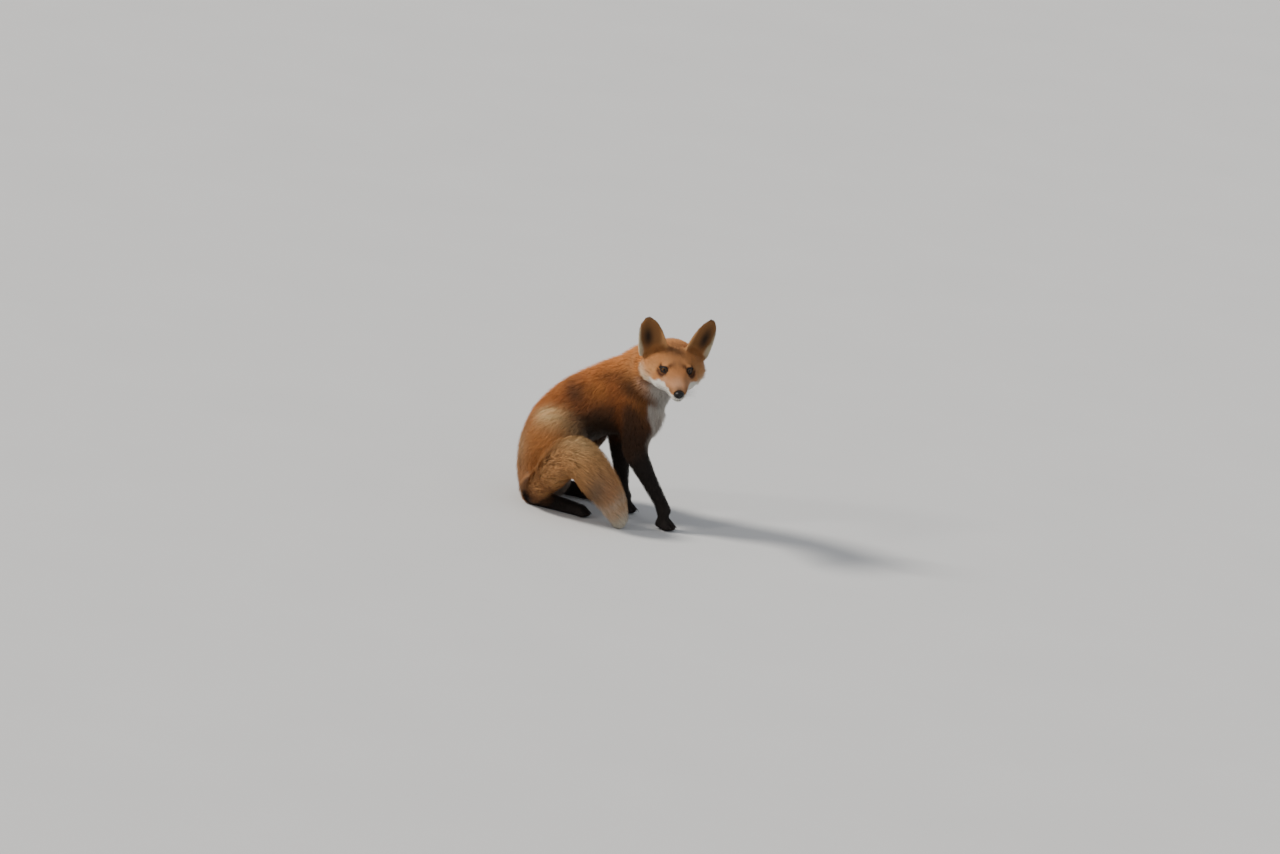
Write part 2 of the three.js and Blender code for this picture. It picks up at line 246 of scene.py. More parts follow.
def new_object(name, mesh):
    piece = bpy.data.objects.new(name, mesh)
    bpy.context.scene.collection.objects.link(piece)
    return piece


def outer_surface():
    points, faces, owners, start = [], [], [], 0
    for node in FLESH:
        solid, triangles = solid_of(node)
        points.append(solid + point_normals(solid, triangles) * GROW)
        faces.append(triangles + start)
        owners += [FLESH.index(node)] * len(triangles)
        start += len(solid)
    points = np.concatenate(points)
    faces = np.concatenate(faces)
    mesh = bpy.data.meshes.new("solids")
    mesh.from_pydata(points.tolist(), [], faces.tolist())
    solids = new_object("solids", mesh)
    remesh = solids.modifiers.new("one_skin", "REMESH")
    remesh.mode = "VOXEL"
    remesh.voxel_size = VOXEL
    evaluated = solids.evaluated_get(bpy.context.evaluated_depsgraph_get())
    result = bpy.data.meshes.new_from_object(evaluated)
    bpy.data.objects.remove(solids)
    return result, BVHTree.FromPolygons(points.tolist(), faces.tolist()), np.array(owners)


skin_mesh, solids_tree, tree_nodes = outer_surface()


def nodes_at(points):
    return tree_nodes[[solids_tree.find_nearest(p)[2] for p in points.tolist()]]


def parts_at(points):
    return PART_OF_FLESH[nodes_at(points)]


def give_of(parts):
    """How freely each point is relaxed: thin and small parts would shrink away."""
    return np.array([GIVE.get(part, 1.0) for part in PARTS])[parts]


points, edges = read_points(skin_mesh), read_edges(skin_mesh)
parts = parts_at(points)
points = relax(points, edges, FACET_ROUNDS, 0.5 * give_of(parts))
print("outer surface:", len(points), "points")

# %% [markdown]
# Behind the crown the fur of the head runs into the fur of the neck with no step. Relaxing only a band
# over the joint fills the notch there. The result is the outline that the tips of the fur will reach.

# %% The nape
NAPE_ROUNDS = 90
NAPE_SPREAD = 26  # rounds that spread the two parts into each other
NAPE_RISE = (-4, 18)  # height in the head's frame over which the band begins


def nape_share(points, parts, edges):
    """1 along the joint, where each of the two parts has half a share."""
    owned = np.stack([in_parts(parts, "head"), in_parts(parts, "neck")], 1).astype(float)
    near = relax(owned, edges, NAPE_SPREAD)
    return 4 * near.prod(1) * smooth(*NAPE_RISE, to_head(points)[:, 2])


nape = np.clip(nape_share(points, parts, edges) * 1.3, 0, 1)
points = relax(points, edges, NAPE_ROUNDS, 0.5 * nape)
write_points(skin_mesh, points)
outline_tree = BVHTree.FromPolygons(points.tolist(), read_triangles(skin_mesh).tolist())
print("nape smoothed over", int((nape > 0.5).sum()), "points")

# %% [markdown]
# A face needs finer mesh than a flank. Subdividing only the faces that lie in front of the ears, and
# then once more round the eyes and along the mouth, puts the points where the modelling needs them.

# %% Finer mesh on the face
FACE_FROM, FACE_TO = -34, 90  # x in the head's frame
EYE_ROOM = 17  # mm round each eye
FACE_BLEND = 12  # rounds over which the finer mesh is eased into the rest
FACE_ROUNDS = 26


def refine(mesh, wanted):
    bm = bmesh.new()
    bm.from_mesh(mesh)
    centres = np.array([f.calc_center_median() for f in bm.faces])
    chosen = wanted(centres)
    edges = {e for face, pick in zip(bm.faces, chosen) if pick for e in face.edges}
    bmesh.ops.subdivide_edges(bm, edges=list(edges), cuts=1, use_grid_fill=True)
    bmesh.ops.triangulate(bm, faces=[f for f in bm.faces if len(f.verts) > 4])
    bm.to_mesh(mesh)
    bm.free()


def in_face(centres):
    x, y, z = to_head(centres).T
    near = (x > FACE_FROM) & (x < FACE_TO) & (np.abs(y) < 60) & (z > -62) & (z < 60)
    near[near] &= in_parts(parts_at(centres[near]), "head", "jaw")
    return near


def round_the_features(centres):
    local = to_head(centres)
    away = [np.linalg.norm(local - to_head(at), axis=1) for at in eye_centres.values()]
    x, y, z = local.T
    lips = (x > 20) & (x < 76) & (z < -36) & (z > -50) & (np.abs(y) < 24)
    return (np.minimum(*away) < EYE_ROOM) | lips


refine(skin_mesh, in_face)
points, edges = read_points(skin_mesh), read_edges(skin_mesh)
finer = relax(in_face(points).astype(float)[:, None], edges, FACE_BLEND)[:, 0]
points = relax(points, edges, FACE_ROUNDS, 0.5 * finer)
write_points(skin_mesh, points)
print("with a finer face:", len(points), "points")

# %% [markdown]
# The solids reach to the tips of the fur, so the skin lies inside them by the coat's depth. Each
# point takes the row of the part it is nearest to, and relaxing the rows over the mesh blends them
# where parts meet. The face is shorter than the crown, and the cheeks carry the long ruff.

# %% How the coat varies over the skin
PLAN_ROUNDS = 16
FLOOR_FUR = 0.12  # the share of its depth that the fur keeps where it is pressed on the floor
FLOOR_REACH = 18 * MM
INSET_STEPS = 12
INSET_ROUNDS = 8  # rounds of smoothing for the way each step goes
SKIN_LOWEST = 0.3 * MM


def coat_plan(points, edges):
    rows = np.array([COAT[part] for part in PARTS], float)[parts_at(points)]
    local = to_head(points)
    x, y, z = local.T
    head = in_parts(parts_at(points), "head")
    face = head * smooth(-48, 2, x)
    muzzle = head * smooth(8, 40, x)
    ruff = head * smooth(30, 52, np.abs(y)) * smooth(6, -16, x) * smooth(12, -14, z)
    for row, share in ((FACE_COAT, face), (MUZZLE_COAT, muzzle), (RUFF_COAT, ruff)):
        rows = mix(rows, np.array(row, float), share)
    rows = relax(rows, edges, PLAN_ROUNDS)
    rows[:, DEPTH] *= FLOOR_FUR + (1 - FLOOR_FUR) * smooth(0, FLOOR_REACH, points[:, 2])
    return rows


def inset(mesh):
    points = read_points(mesh)
    edges, triangles = read_edges(mesh), read_triangles(mesh)
    plan = coat_plan(points, edges)
    give = relax(give_of(parts_at(points))[:, None], edges, INSET_ROUNDS)
    for _ in range(INSET_STEPS):
        step = plan[:, [DEPTH]] * MM / INSET_STEPS
        spread = relax(point_normals(points, triangles), edges, INSET_ROUNDS, give * 0.5)
        points = points - spread * step
        points = relax(points, edges, 3, 0.5 * give)
    points[:, 2] = np.maximum(points[:, 2], SKIN_LOWEST)
    write_points(mesh, points)
    return plan


plan = inset(skin_mesh)
print("coat depth, mm:", plan[:, DEPTH].min().round(1), "to", plan[:, DEPTH].max().round(1))

# %% [markdown]
# The bones and muscles of a face show through its short fur. Each is a soft swelling or hollow at a
# place in the head's frame, the same on both sides, so a short table does what a sculptor's thumb
# would: brows, temples, cheekbones, the stop between the eyes, the hollows before them and the
# whisker pads. The mouth is a fine groove with the upper lip rolled over it.

# %% Modelling the face
FEATURES = [
    # (name, centre (x, y, z), reach (x, y, z), height): millimetres, height along the skin
    ("brow", (5, 21, 13), (12, 10, 6), 1.8),
    ("temple", (-16, 38, 8), (15, 9, 12), -2.0),
    ("cheekbone", (1, 33, -14), (15, 9, 7), 1.6),
    ("stop", (24, 0, 7), (11, 9, 9), -1.8),
    ("furrow", (-6, 0, 26), (20, 5, 9), -1.2),
    ("hollow_before_eye", (25, 16, -12), (10, 6, 9), -2.0),
    ("whisker_pad", (58, 12, -31), (11, 7, 7), 1.5),
    ("chin", (63, 0, -50), (8, 8, 5), 0.8),
    ("nose_bridge", (52, 0, -13), (18, 5, 5), 0.6),
]
MOUTH_X = (20, 28, 38, 50, 60, 68, 74)
MOUTH_Z = (-38.8, -40.8, -42.6, -43.2, -42.2, -40.8, -39.6)  # from the corner to the front
LIP_GROOVE = (1.1, 0.9)  # depth and half width
LIP_ROLL = (0.5, 2.2, 1.4)  # height, how far above the groove, half width


def mouth_line(x):
    return np.interp(x, MOUTH_X, MOUTH_Z)


def mirrored(local):
    """The same places with those on the right side carried over to the left."""
    return local * [1, 0, 1] + np.abs(local) * [0, 1, 0]


def swelling(local):
    height = np.zeros(len(local))
    for _, centre, reach, amount in FEATURES:
        height += amount * np.exp(-(((mirrored(local) - centre) / reach) ** 2).sum(1))
    x, _, z = local.T
    along = smooth(MOUTH_X[0] - 3, MOUTH_X[0] + 4, x) * smooth(78, 70, x)
    above = z - mouth_line(x)
    depth, half = LIP_GROOVE
    height -= depth * along * np.exp(-((above / half) ** 2))
    rise, over, reach = LIP_ROLL
    height += rise * along * np.exp(-(((above - over) / reach) ** 2))
    return height


refine(skin_mesh, round_the_features)
points, edges = read_points(skin_mesh), read_edges(skin_mesh)
points = relax(points, edges, 12, 0.5 * round_the_features(points))
face_share = in_face(points).astype(float)
normals = point_normals(points, read_triangles(skin_mesh))
points = points + normals * (swelling(to_head(points)) * face_share * MM)[:, None]
print("face modelled:", len(FEATURES), "features on", int(face_share.sum()), "points")

# %% [markdown]
# A fox's eyes look forward and a little out. Their lids are two curves over the ball, an almond that
# slants down to the tear duct and faces further out than the eye looks. Working in each eye's own
# axes, the skin is lifted onto a dome just proud of the ball, and sunk behind the ball inside the
# almond, so the lids have a real edge.

# %% Lids
LIDS_OUT, LIDS_UP, SLANT = 33, 5, 17  # degrees that the opening faces and is turned
EYE_RADIUS = 9.6
LID = 1.0  # thickness over the ball
LID_FLAT = 1.4  # the dome's radius, in radii of the ball
LID_SUNK = 2.2  # how far behind the ball's front the skin inside the almond goes
LID_REACH = (14.5, 8.2)  # from the eye's middle, where the dome begins and where it is whole
LID_BACK = -2  # how far behind the eye's centre the dome still counts
OPENING = 8.6  # half its width
UPPER, LOWER = 4.7, 4.2  # its height above and below its middle line
LID_TILT = 0.9  # how far its arch is drawn down at the outer end and up at the inner


def eye_axes(side, out=LIDS_OUT, up=LIDS_UP, slant=SLANT):
    """Across to the outer corner, up, and ahead, for an eye that faces these ways."""
    out, up, slant = (math.radians(angle) for angle in (out, up, slant))
    ahead = unit(np.array([math.cos(out), side * math.sin(out), math.tan(up)]))
    outward = unit(np.array([-math.sin(out), side * math.cos(out), 0]))
    upward = unit(np.cross(ahead, outward)) * side
    across = math.cos(slant) * outward + math.sin(slant) * upward
    return np.stack([across, unit(np.cross(ahead, across)) * side, ahead], 1)


def lid_heights(a):
    """Height of the upper and the lower edge at a, the place across the opening."""
    t = np.clip(a / OPENING, -1, 1)
    arch = 1 - t * t
    corner = LID_TILT * t * arch
    return UPPER * arch**0.9 - corner, -LOWER * arch - corner


def off_the_opening(a, b):
    """Millimetres outside the almond, less than nothing inside it."""
    upper, lower = lid_heights(a)
    return np.maximum.reduce([b - upper, lower - b, np.abs(a) - OPENING])


def in_eye(points, name):
    """Millimetres across, up and ahead of the eye's centre, in its own axes."""
    local = to_head(points) - to_head(eye_centres[name])
    return (local @ eye_axes(SIDES[name])).T


FAR = 99.0
EYE_REACH = 30


def with_lids(points):
    for name, side in SIDES.items():
        a, b, c = in_eye(points, name)
        rho = np.hypot(a, b)
        flat = LID_FLAT * EYE_RADIUS
        lid = np.sqrt(np.maximum(flat**2 - rho**2, 0)) - flat + EYE_RADIUS + LID
        ball = np.sqrt(np.maximum(EYE_RADIUS**2 - rho**2, 0))
        outside = off_the_opening(a, b)
        target = mix(ball - LID_SUNK, lid, smooth(-0.5, 0.3, outside))
        share = smooth(*LID_REACH, rho) * (c > LID_BACK)
        moved = (target - c) * share
        points = points + (moved[:, None] * eye_axes(side)[:, 2]) @ HEAD_AXES.T * MM
    return points


def eye_distance(points):
    """Millimetres from the nearer eye's almond, measured over the face; far off, a large value."""
    away = np.full(len(points), FAR)
    for name in SIDES:
        a, b, c = in_eye(points, name)
        near = (c > LID_BACK) & (np.hypot(a, b) < EYE_REACH)
        away = np.where(near, np.minimum(away, off_the_opening(a, b)), away)
    return away


points = with_lids(points)
write_points(skin_mesh, points)
print("lids round two eyes")

# %% [markdown]
# Each foot stands on four toes. Grooves pressed between them, on a finer mesh, part them as the webs
# of skin do on the animal.

# %% Toes
FEET = [node for node in FLESH if part_of(node) in ("forepaw", "hindfoot")]
TOE_SPACING = 8.6
TOE_GROOVE = (2.4, 1.7)  # depth and half width
TOES_FROM = 30  # mm behind the tip of the foot
FOOT_HALF, FOOT_HEIGHT = 24, 34


def on_foot(points, node):
    """Millimetres ahead of the foot's front end, across its middle, and up from the floor."""
    low, high = node_box(node)
    front = np.array([high[0], (low[1] + high[1]) / 2, 0])
    return ((points - front) / MM).T


def round_the_toes(centres):
    near = np.zeros(len(centres), bool)
    for node in FEET:
        ahead, across, up = on_foot(centres, node)
        inside = (np.abs(across) < FOOT_HALF) & (up < FOOT_HEIGHT)
        near |= (ahead > -TOES_FROM) & (ahead < 6) & inside
    return near


def with_toes(points, normals):
    depth, half = TOE_GROOVE
    for node in FEET:
        ahead, across, up = on_foot(points, node)
        here = smooth(-TOES_FROM, -16, ahead) * smooth(8, 2, ahead)
        here = here * smooth(FOOT_HEIGHT, 24, up) * (np.abs(across) < FOOT_HALF)
        for line in (-TOE_SPACING, 0, TOE_SPACING):
            groove = np.exp(-(((across - line) / half) ** 2)) * here * smooth(-0.6, 0, normals[:, 2])
            points = points - normals * (depth * groove * MM)[:, None]
    return points


refine(skin_mesh, round_the_toes)
points = read_points(skin_mesh)
points = with_toes(points, point_normals(points, read_triangles(skin_mesh)))
write_points(skin_mesh, points)
print("toes on", len(FEET), "feet")

# %% [markdown]
# Under long fur the skin needs far fewer points than on the face. A Decimate modifier weighted by a
# vertex group thins the trunk, the legs and the tail, and leaves the head, the ears and the paws.

# %% A lighter mesh under the long fur
SKIN_TRIANGLES = 190_000
FINE_PARTS = ("head", "jaw", "ear", "forepaw", "hindfoot")


def lightened(mesh):
    body = new_object("skin", mesh)
    coarse = np.flatnonzero(~in_parts(parts_at(read_points(mesh)), *FINE_PARTS))
    body.vertex_groups.new(name="long_fur").add(coarse.tolist(), 1.0, "REPLACE")
    thin = body.modifiers.new("thin", "DECIMATE")
    thin.ratio = SKIN_TRIANGLES / len(read_triangles(mesh))
    thin.vertex_group = "long_fur"
    evaluated = body.evaluated_get(bpy.context.evaluated_depsgraph_get())
    result = bpy.data.meshes.new_from_object(evaluated)
    bpy.data.objects.remove(body)
    result.polygons.foreach_set("use_smooth", np.ones(len(result.polygons), bool))
    return result


skin_mesh = lightened(skin_mesh)
points, edges, triangles = read_points(skin_mesh), read_edges(skin_mesh), read_triangles(skin_mesh)
normals = point_normals(points, triangles)
print("skin:", len(points), "points,", len(triangles), "triangles")

# %% [markdown]
# ## Finishes
# Each finish is a small node tree. Constants sit on the shader's own sockets; only colour, roughness
# and bump are patterns.

# %% A helper for node trees
def finish(name, **sockets):
    material = bpy.data.materials.new(name)
    material.use_nodes = True
    shader = material.node_tree.nodes["Principled BSDF"]
    for socket, value in sockets.items():
        shader.inputs[socket.replace("_", " ")].default_value = value
    return material, shader


def tree_node(tree, kind, inputs, **settings):
    """A new node; each input is linked from a socket or set to a value."""
    node = tree.nodes.new(kind)
    for key, value in settings.items():
        setattr(node, key, value)
    for key, value in inputs.items():
        if isinstance(value, bpy.types.NodeSocket):
            tree.links.new(value, node.inputs[key])
        else:
            node.inputs[key].default_value = value
    return node


def add_node(material, kind, inputs=None, **settings):
    return tree_node(material.node_tree, kind, inputs or {}, **settings)


def link(material, source, target):
    material.node_tree.links.new(source, target)


def times_colour(material, colour, factor):
    """The colour brightened or darkened by a factor from another node."""
    inputs = {0: colour, "Scale": factor}
    return add_node(material, "ShaderNodeVectorMath", inputs, operation="SCALE").outputs[0]


def linear(code):
    """A colour written as six hex digits, in the linear values that shaders take."""
    srgb = np.array([int(code[k : k + 2], 16) for k in (0, 2, 4)]) / 255
    return np.where(srgb <= 0.04045, srgb / 12.92, ((srgb + 0.055) / 1.055) ** 2.4)


def object_noise(material, scale, detail=3.0):
    place = add_node(material, "ShaderNodeTexCoord")
    inputs = {"Vector": place.outputs["Object"], "Scale": scale, "Detail": detail}
    return add_node(material, "ShaderNodeTexNoise", inputs)


def add_bump(material, shader, height, distance, strength=1.0):
    inputs = {"Height": height, "Distance": distance, "Strength": strength}
    bump = add_node(material, "ShaderNodeBump", inputs)
    link(material, bump.outputs["Normal"], shader.inputs["Normal"])


# %% [markdown]
# ## The eyes
# The iris of a young red fox is a dark amber brown with a black edge and an upright pupil; here it is
# darkened further, as painted shade of the lids. The ball is turned on a profile with the cornea's low
# bulge, and carries a flat map of its own front, so the shader can draw the rings and fibres round the
# pupil sharply at any distance.

# %% The eye's finish
EYE_MAP = 24.0  # mm that the eye's own map spans
# Darker than the fox's own iris, as painted shade of the lids
IRIS_STOPS = {
    # distance from the middle of the map: colour
    0.0: "241708",
    0.12: "452A0E",
    0.22: "553713",
    0.275: "2C1F0C",
    0.31: "0C0805",
    0.34: "0E0A07",
}
PUPIL_EDGE = (0.14, 0.16)  # its half height on the map, from black to iris
PUPIL_SQUEEZE = 1.7  # how much narrower than high
GAZE_OUT, GAZE_UP = 27, 3  # degrees


def eye_material():
    gloss = {"Specular_IOR_Level": 0.0, "Coat_Weight": 0.8, "Coat_Roughness": 0.02, "Coat_IOR": 1.38}
    material, shader = finish("eye", Roughness=0.4, **gloss)
    place = add_node(material, "ShaderNodeUVMap", uv_map="EyeFront")
    offset = {0: place.outputs["UV"], 1: (-0.5, -0.5, 0)}
    centred = add_node(material, "ShaderNodeVectorMath", offset, operation="ADD").outputs[0]
    radius = add_node(material, "ShaderNodeVectorMath", {0: centred}, operation="LENGTH")
    ramp = add_node(material, "ShaderNodeValToRGB", {"Fac": radius.outputs["Value"]})
    elements = ramp.color_ramp.elements
    elements[1].position = max(IRIS_STOPS)
    for position in list(IRIS_STOPS)[1:-1]:
        elements.new(position)
    for element, code in zip(elements, IRIS_STOPS.values()):
        element.color = (*linear(code), 1)
    split = add_node(material, "ShaderNodeSeparateXYZ", {"Vector": centred})
    turn = {0: split.outputs["X"], 1: split.outputs["Y"]}
    angle = add_node(material, "ShaderNodeMath", turn, operation="ARCTAN2")
    fibre = {"W": angle.outputs[0], "Scale": 11.0, "Detail": 5.0}
    fibres = add_node(material, "ShaderNodeTexNoise", fibre, noise_dimensions="1D")
    levels = {"Value": fibres.outputs["Fac"], "From Min": 0.3, "From Max": 0.7, "To Min": 0.65}
    shade = add_node(material, "ShaderNodeMapRange", {**levels, "To Max": 1.3})
    streaked = times_colour(material, ramp.outputs["Color"], shade.outputs[0])
    squeeze = {0: centred, 1: (PUPIL_SQUEEZE, 1, 1)}
    narrow = add_node(material, "ShaderNodeVectorMath", squeeze, operation="MULTIPLY")
    slit = add_node(material, "ShaderNodeVectorMath", {0: narrow.outputs[0]}, operation="LENGTH")
    edges = {"Value": slit.outputs["Value"], "From Min": PUPIL_EDGE[0], "From Max": PUPIL_EDGE[1]}
    open_iris = add_node(material, "ShaderNodeMapRange", edges)
    link(material, times_colour(material, streaked, open_iris.outputs[0]), shader.inputs["Base Color"])
    return material


# %% Closed turned shapes, and declaring a piece
def turned_angles(rows, around):
    """Angle from the first pole and angle round the axis, for each point of a turned shape."""
    polar = np.append(np.repeat((np.arange(rows) + 0.5) / rows * math.pi, around), [0, math.pi])
    turn = np.append(np.tile(np.arange(around) / around * math.tau, rows), [0, 0])
    return polar, turn


def turned_grid(rows, around):
    """Triangles of a closed turned shape: rings of points between two poles, the poles last."""
    faces = []
    first, last = rows * around, rows * around + 1
    for k in range(around):
        n = (k + 1) % around
        faces += [(first, k, n), (last, (rows - 1) * around + n, (rows - 1) * around + k)]
        for r in range(rows - 1):
            a, b = r * around, (r + 1) * around
            faces += [(a + k, b + k, b + n), (a + k, b + n, a + n)]
    return np.array(faces)


def facing_out(points, faces):
    """The faces turned so that a closed shape's volume is positive."""
    a, b, c = (points[faces[:, k]] - points.mean(0) for k in range(3))
    volume = (a * np.cross(b, c)).sum()
    return faces if volume > 0 else faces[:, ::-1]


def declared(piece, replaces=()):
    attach(piece, "root")
    if replaces:
        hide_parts(*replaces)
    return piece


def made(name, points, faces, material, replaces=()):
    """A finished closed piece from points and faces: smooth, riding on the body, with its finish."""
    mesh = bpy.data.meshes.new(name)
    mesh.from_pydata(points.tolist(), [], facing_out(points, faces).tolist())
    mesh.polygons.foreach_set("use_smooth", np.ones(len(mesh.polygons), bool))
    mesh.materials.append(material)
    mesh.update()
    return declared(new_object(name, mesh), replaces)


# %% Eyeballs
CORNEA_BULGE = 0.9
CORNEA_ANGLE = 0.7  # radians from the gaze to its edge
EYE_ROWS, EYE_AROUND = 48, 64


def eyeball(name, side, material):
    polar, turn = turned_angles(EYE_ROWS, EYE_AROUND)
    radius = EYE_RADIUS + CORNEA_BULGE * np.exp(-((polar / CORNEA_ANGLE) ** 4))
    ring = radius * np.sin(polar)
    front = np.stack([ring * np.cos(turn), ring * np.sin(turn), radius * np.cos(polar)], 1)
    axes = eye_axes(side, GAZE_OUT, GAZE_UP, 0)
    points = from_head(front @ axes.T + to_head(eye_centres[name]))
    faces = turned_grid(EYE_ROWS, EYE_AROUND)
    piece = made(f"eyeball_{name}", points, faces, material, [f"eye_{name}"])
    flat = front[:, :2] / EYE_MAP + 0.5
    corners = np.array([loop.vertex_index for loop in piece.data.loops])
    piece.data.uv_layers.new(name="EyeFront").data.foreach_set("uv", flat[corners].ravel())
    return piece


eye_finish = eye_material()
for eye, side in SIDES.items():
    eyeball(eye, side, eye_finish)
print("eyeballs: two, radius", EYE_RADIUS, "mm")

# %% [markdown]
# The margin of each lid is bare and black, a firm bead of skin that runs round the almond and draws
# out into the tear duct. A tube swept along the opening's own curve gives the eye its dark outline.

# %% Lid margins
BEAD = 0.85  # its radius
BEAD_OVER = 0.55  # how far its middle lies outside the ball
DUCT_SWELL = 0.35  # how much thicker it is at the tear duct
BEAD_STEPS, BEAD_SIDES = 72, 8


def bare_black_skin():
    material, shader = finish("lid_margin", Roughness=0.38, Base_Color=(*linear("16110F"), 1))
    noise = object_noise(material, 900.0)
    add_bump(material, shader, noise.outputs["Fac"], 0.2 * MM)
    return material


def swept_ring(centres, outs, ups, radii, sides):
    """A closed tube round a loop of centres; outs and ups span each section."""
    turn = np.arange(sides) / sides * math.tau
    points = (
        centres[:, None]
        + outs[:, None] * (np.cos(turn)[:, None] * radii[:, None, None])
        + ups[:, None] * (np.sin(turn)[:, None] * radii[:, None, None])
    )
    steps = len(centres)
    faces = []
    for s in range(steps):
        for k in range(sides):
            a, b = s * sides, (s + 1) % steps * sides
            n = (k + 1) % sides
            faces += [(a + k, b + k, b + n), (a + k, b + n, a + n)]
    return points.reshape(-1, 3), np.array(faces)


def lid_margin(name, side, material):
    turn = np.arange(BEAD_STEPS) / BEAD_STEPS * math.tau
    a = OPENING * np.cos(turn)
    upper, lower = lid_heights(a)
    b = np.where(np.sin(turn) >= 0, upper, lower)
    c = np.sqrt((EYE_RADIUS + BEAD_OVER) ** 2 - a**2 - b**2)
    centres = np.stack([a, b, c], 1)
    ahead = unit(np.roll(centres, -1, 0) - np.roll(centres, 1, 0))
    ups = unit(centres)
    outs = unit(np.cross(ahead, ups))
    radii = BEAD * (1 + DUCT_SWELL * smooth(-0.75, -1.0, np.cos(turn)))
    local, faces = swept_ring(centres, outs, ups, radii, BEAD_SIDES)
    points = from_head(local @ eye_axes(side).T + to_head(eye_centres[name]))
    return made(f"lid_margin_{name}", points, faces, material)


lid_finish = bare_black_skin()
for eye, side in SIDES.items():
    lid_margin(eye, side, lid_finish)
print("lid margins: two")

# %% [markdown]
# ## The nose
# The nose pad is bare, damp and pebbled. Its outline is an ellipsoid; comma-shaped nostrils open at
# the front and run out to the sides, and a groove parts the lower half. Carving those by formula from
# a fine turned grid keeps one clean closed surface.

# %% The nose pad
NOSE_RADII = (7.8, 9.7, 7.6)
NOSTRIL = [
    # (direction, reach, depth)
    ((0.82, 0.46, -0.16), 0.30, 4.2),
    ((0.58, 0.74, -0.26), 0.22, 2.8),
    ((0.32, 0.90, -0.26), 0.17, 1.6),
]
NOSE_TOP = 0.9  # how far its upper front is drawn ahead
NOSE_TAPER = 0.22  # how much narrower it is below
NOSE_CLEFT = (0.9, 0.075)  # depth and half width of the groove
NOSE_ROWS, NOSE_AROUND = 72, 96


def damp_pebbled_skin():
    dark = (*linear("0F0C0B"), 1)
    material, shader = finish("nose_pad", Roughness=0.36, Base_Color=dark, Specular_IOR_Level=0.35)
    place = add_node(material, "ShaderNodeTexCoord")
    cells = {"Vector": place.outputs["Object"], "Scale": 1250.0}
    pebbles = add_node(material, "ShaderNodeTexVoronoi", cells)
    add_bump(material, shader, pebbles.outputs["Distance"], 0.25 * MM, 0.7)
    return material


def nose_pad():
    polar, turn = turned_angles(NOSE_ROWS, NOSE_AROUND)
    aim = np.stack([np.sin(polar) * np.cos(turn), np.sin(polar) * np.sin(turn), np.cos(polar)], 1)
    x, y, z = aim.T
    local = aim * NOSE_RADII
    local[:, 0] += NOSE_TOP * smooth(0.2, 0.9, z) * smooth(-0.2, 0.8, x)
    local[:, 1] *= 1 - NOSE_TAPER * smooth(-0.1, -0.9, z)
    carve = np.zeros(len(aim))
    for direction, reach, depth in NOSTRIL:
        away = np.linalg.norm(mirrored(aim) - unit(np.array(direction)), axis=1)
        carve = np.maximum(carve, depth * np.exp(-((away / reach) ** 2)))
    depth, half = NOSE_CLEFT
    carve += depth * np.exp(-((y / half) ** 2)) * smooth(0.1, -0.3, z) * smooth(0, 0.5, x)
    points = from_head(local - aim * carve[:, None] + nose_at)
    faces = turned_grid(NOSE_ROWS, NOSE_AROUND)
    return made("nose_pad", points, faces, damp_pebbled_skin(), ["nose"])


nose_pad()
print("nose pad: nostrils", 2 * len(NOSTRIL), "carves")

# %% [markdown]
# ## How the coat lies
# Fur points away from the nose, back over the trunk, down the legs and out along the brush, and on
# the trunk it hangs a little. Each node of the frame gives one direction, the brush one that turns
# along it, and relaxing the directions over the skin blends them. On the brush the fur parts round a
# whorl.

# %% The lie of the coat
HANG = 0.32
LIE_ROUNDS = 60
WHORL = ("tail_middle", (0.72, 0.03, 0.76))  # node and place in its box
WHORL_REACH = 22 * MM
WHORL_DRIFT = 0.75  # how far the parted fur still follows the brush
BRUSH = ["rump", "tail_root", "tail_middle", "tail_end", "tail_tip"]
BRUSH_REACH = 36 * MM


def in_box(node, fractions):
    low, high = node_box(node)
    return low + (high - low) * fractions


def long_axis(node, towards):
    """The direction in which the node is longest, on the side of towards."""
    solid = read_points(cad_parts[node].data) - node_centre(node)
    axis = np.linalg.svd(solid, full_matrices=False)[2][0]
    return axis * np.sign(axis @ np.array(towards, float))


def between(first, second):
    return unit(node_centre(second) - node_centre(first))


LONG_AXIS_TOWARDS = {
    "ear": head_up,
    "upper_arm": (0.3, 0, -1),
    "forearm": (0.3, 0, -1),
    "shank": (-1, 0, -1),
}
PART_LIE = {
    "head": -head_forward,
    "jaw": -head_forward,
    "neck": between("head", "chest"),
    "chest": between("neck", "loin"),
    "loin": between("chest", "rump"),
    "rump": between("loin", "rump"),
    "forepaw": np.array([0.8, 0, -0.6]),
    "thigh": unit(np.array([-0.4, 0, -0.9])),
    "hindfoot": np.array([1.0, 0, -0.1]),
}


def node_lie(node):
    part = part_of(node)
    if part in LONG_AXIS_TOWARDS:
        return long_axis(node, LONG_AXIS_TOWARDS[part])
    return PART_LIE.get(part, between("tail_root", "tail_end"))


def brush_lie(points):
    centres = np.array([node_centre(node) for node in BRUSH])
    ahead = unit(np.gradient(centres, axis=0))
    away = np.linalg.norm(points[:, None] - centres, axis=2)
    return unit(np.exp(-((away / BRUSH_REACH) ** 2) / 2) @ ahead + 1e-9)


def across_skin(directions, normals):
    """What is left of each direction in the plane of the skin."""
    return unit(directions - normals * (directions * normals).sum(1, keepdims=True))


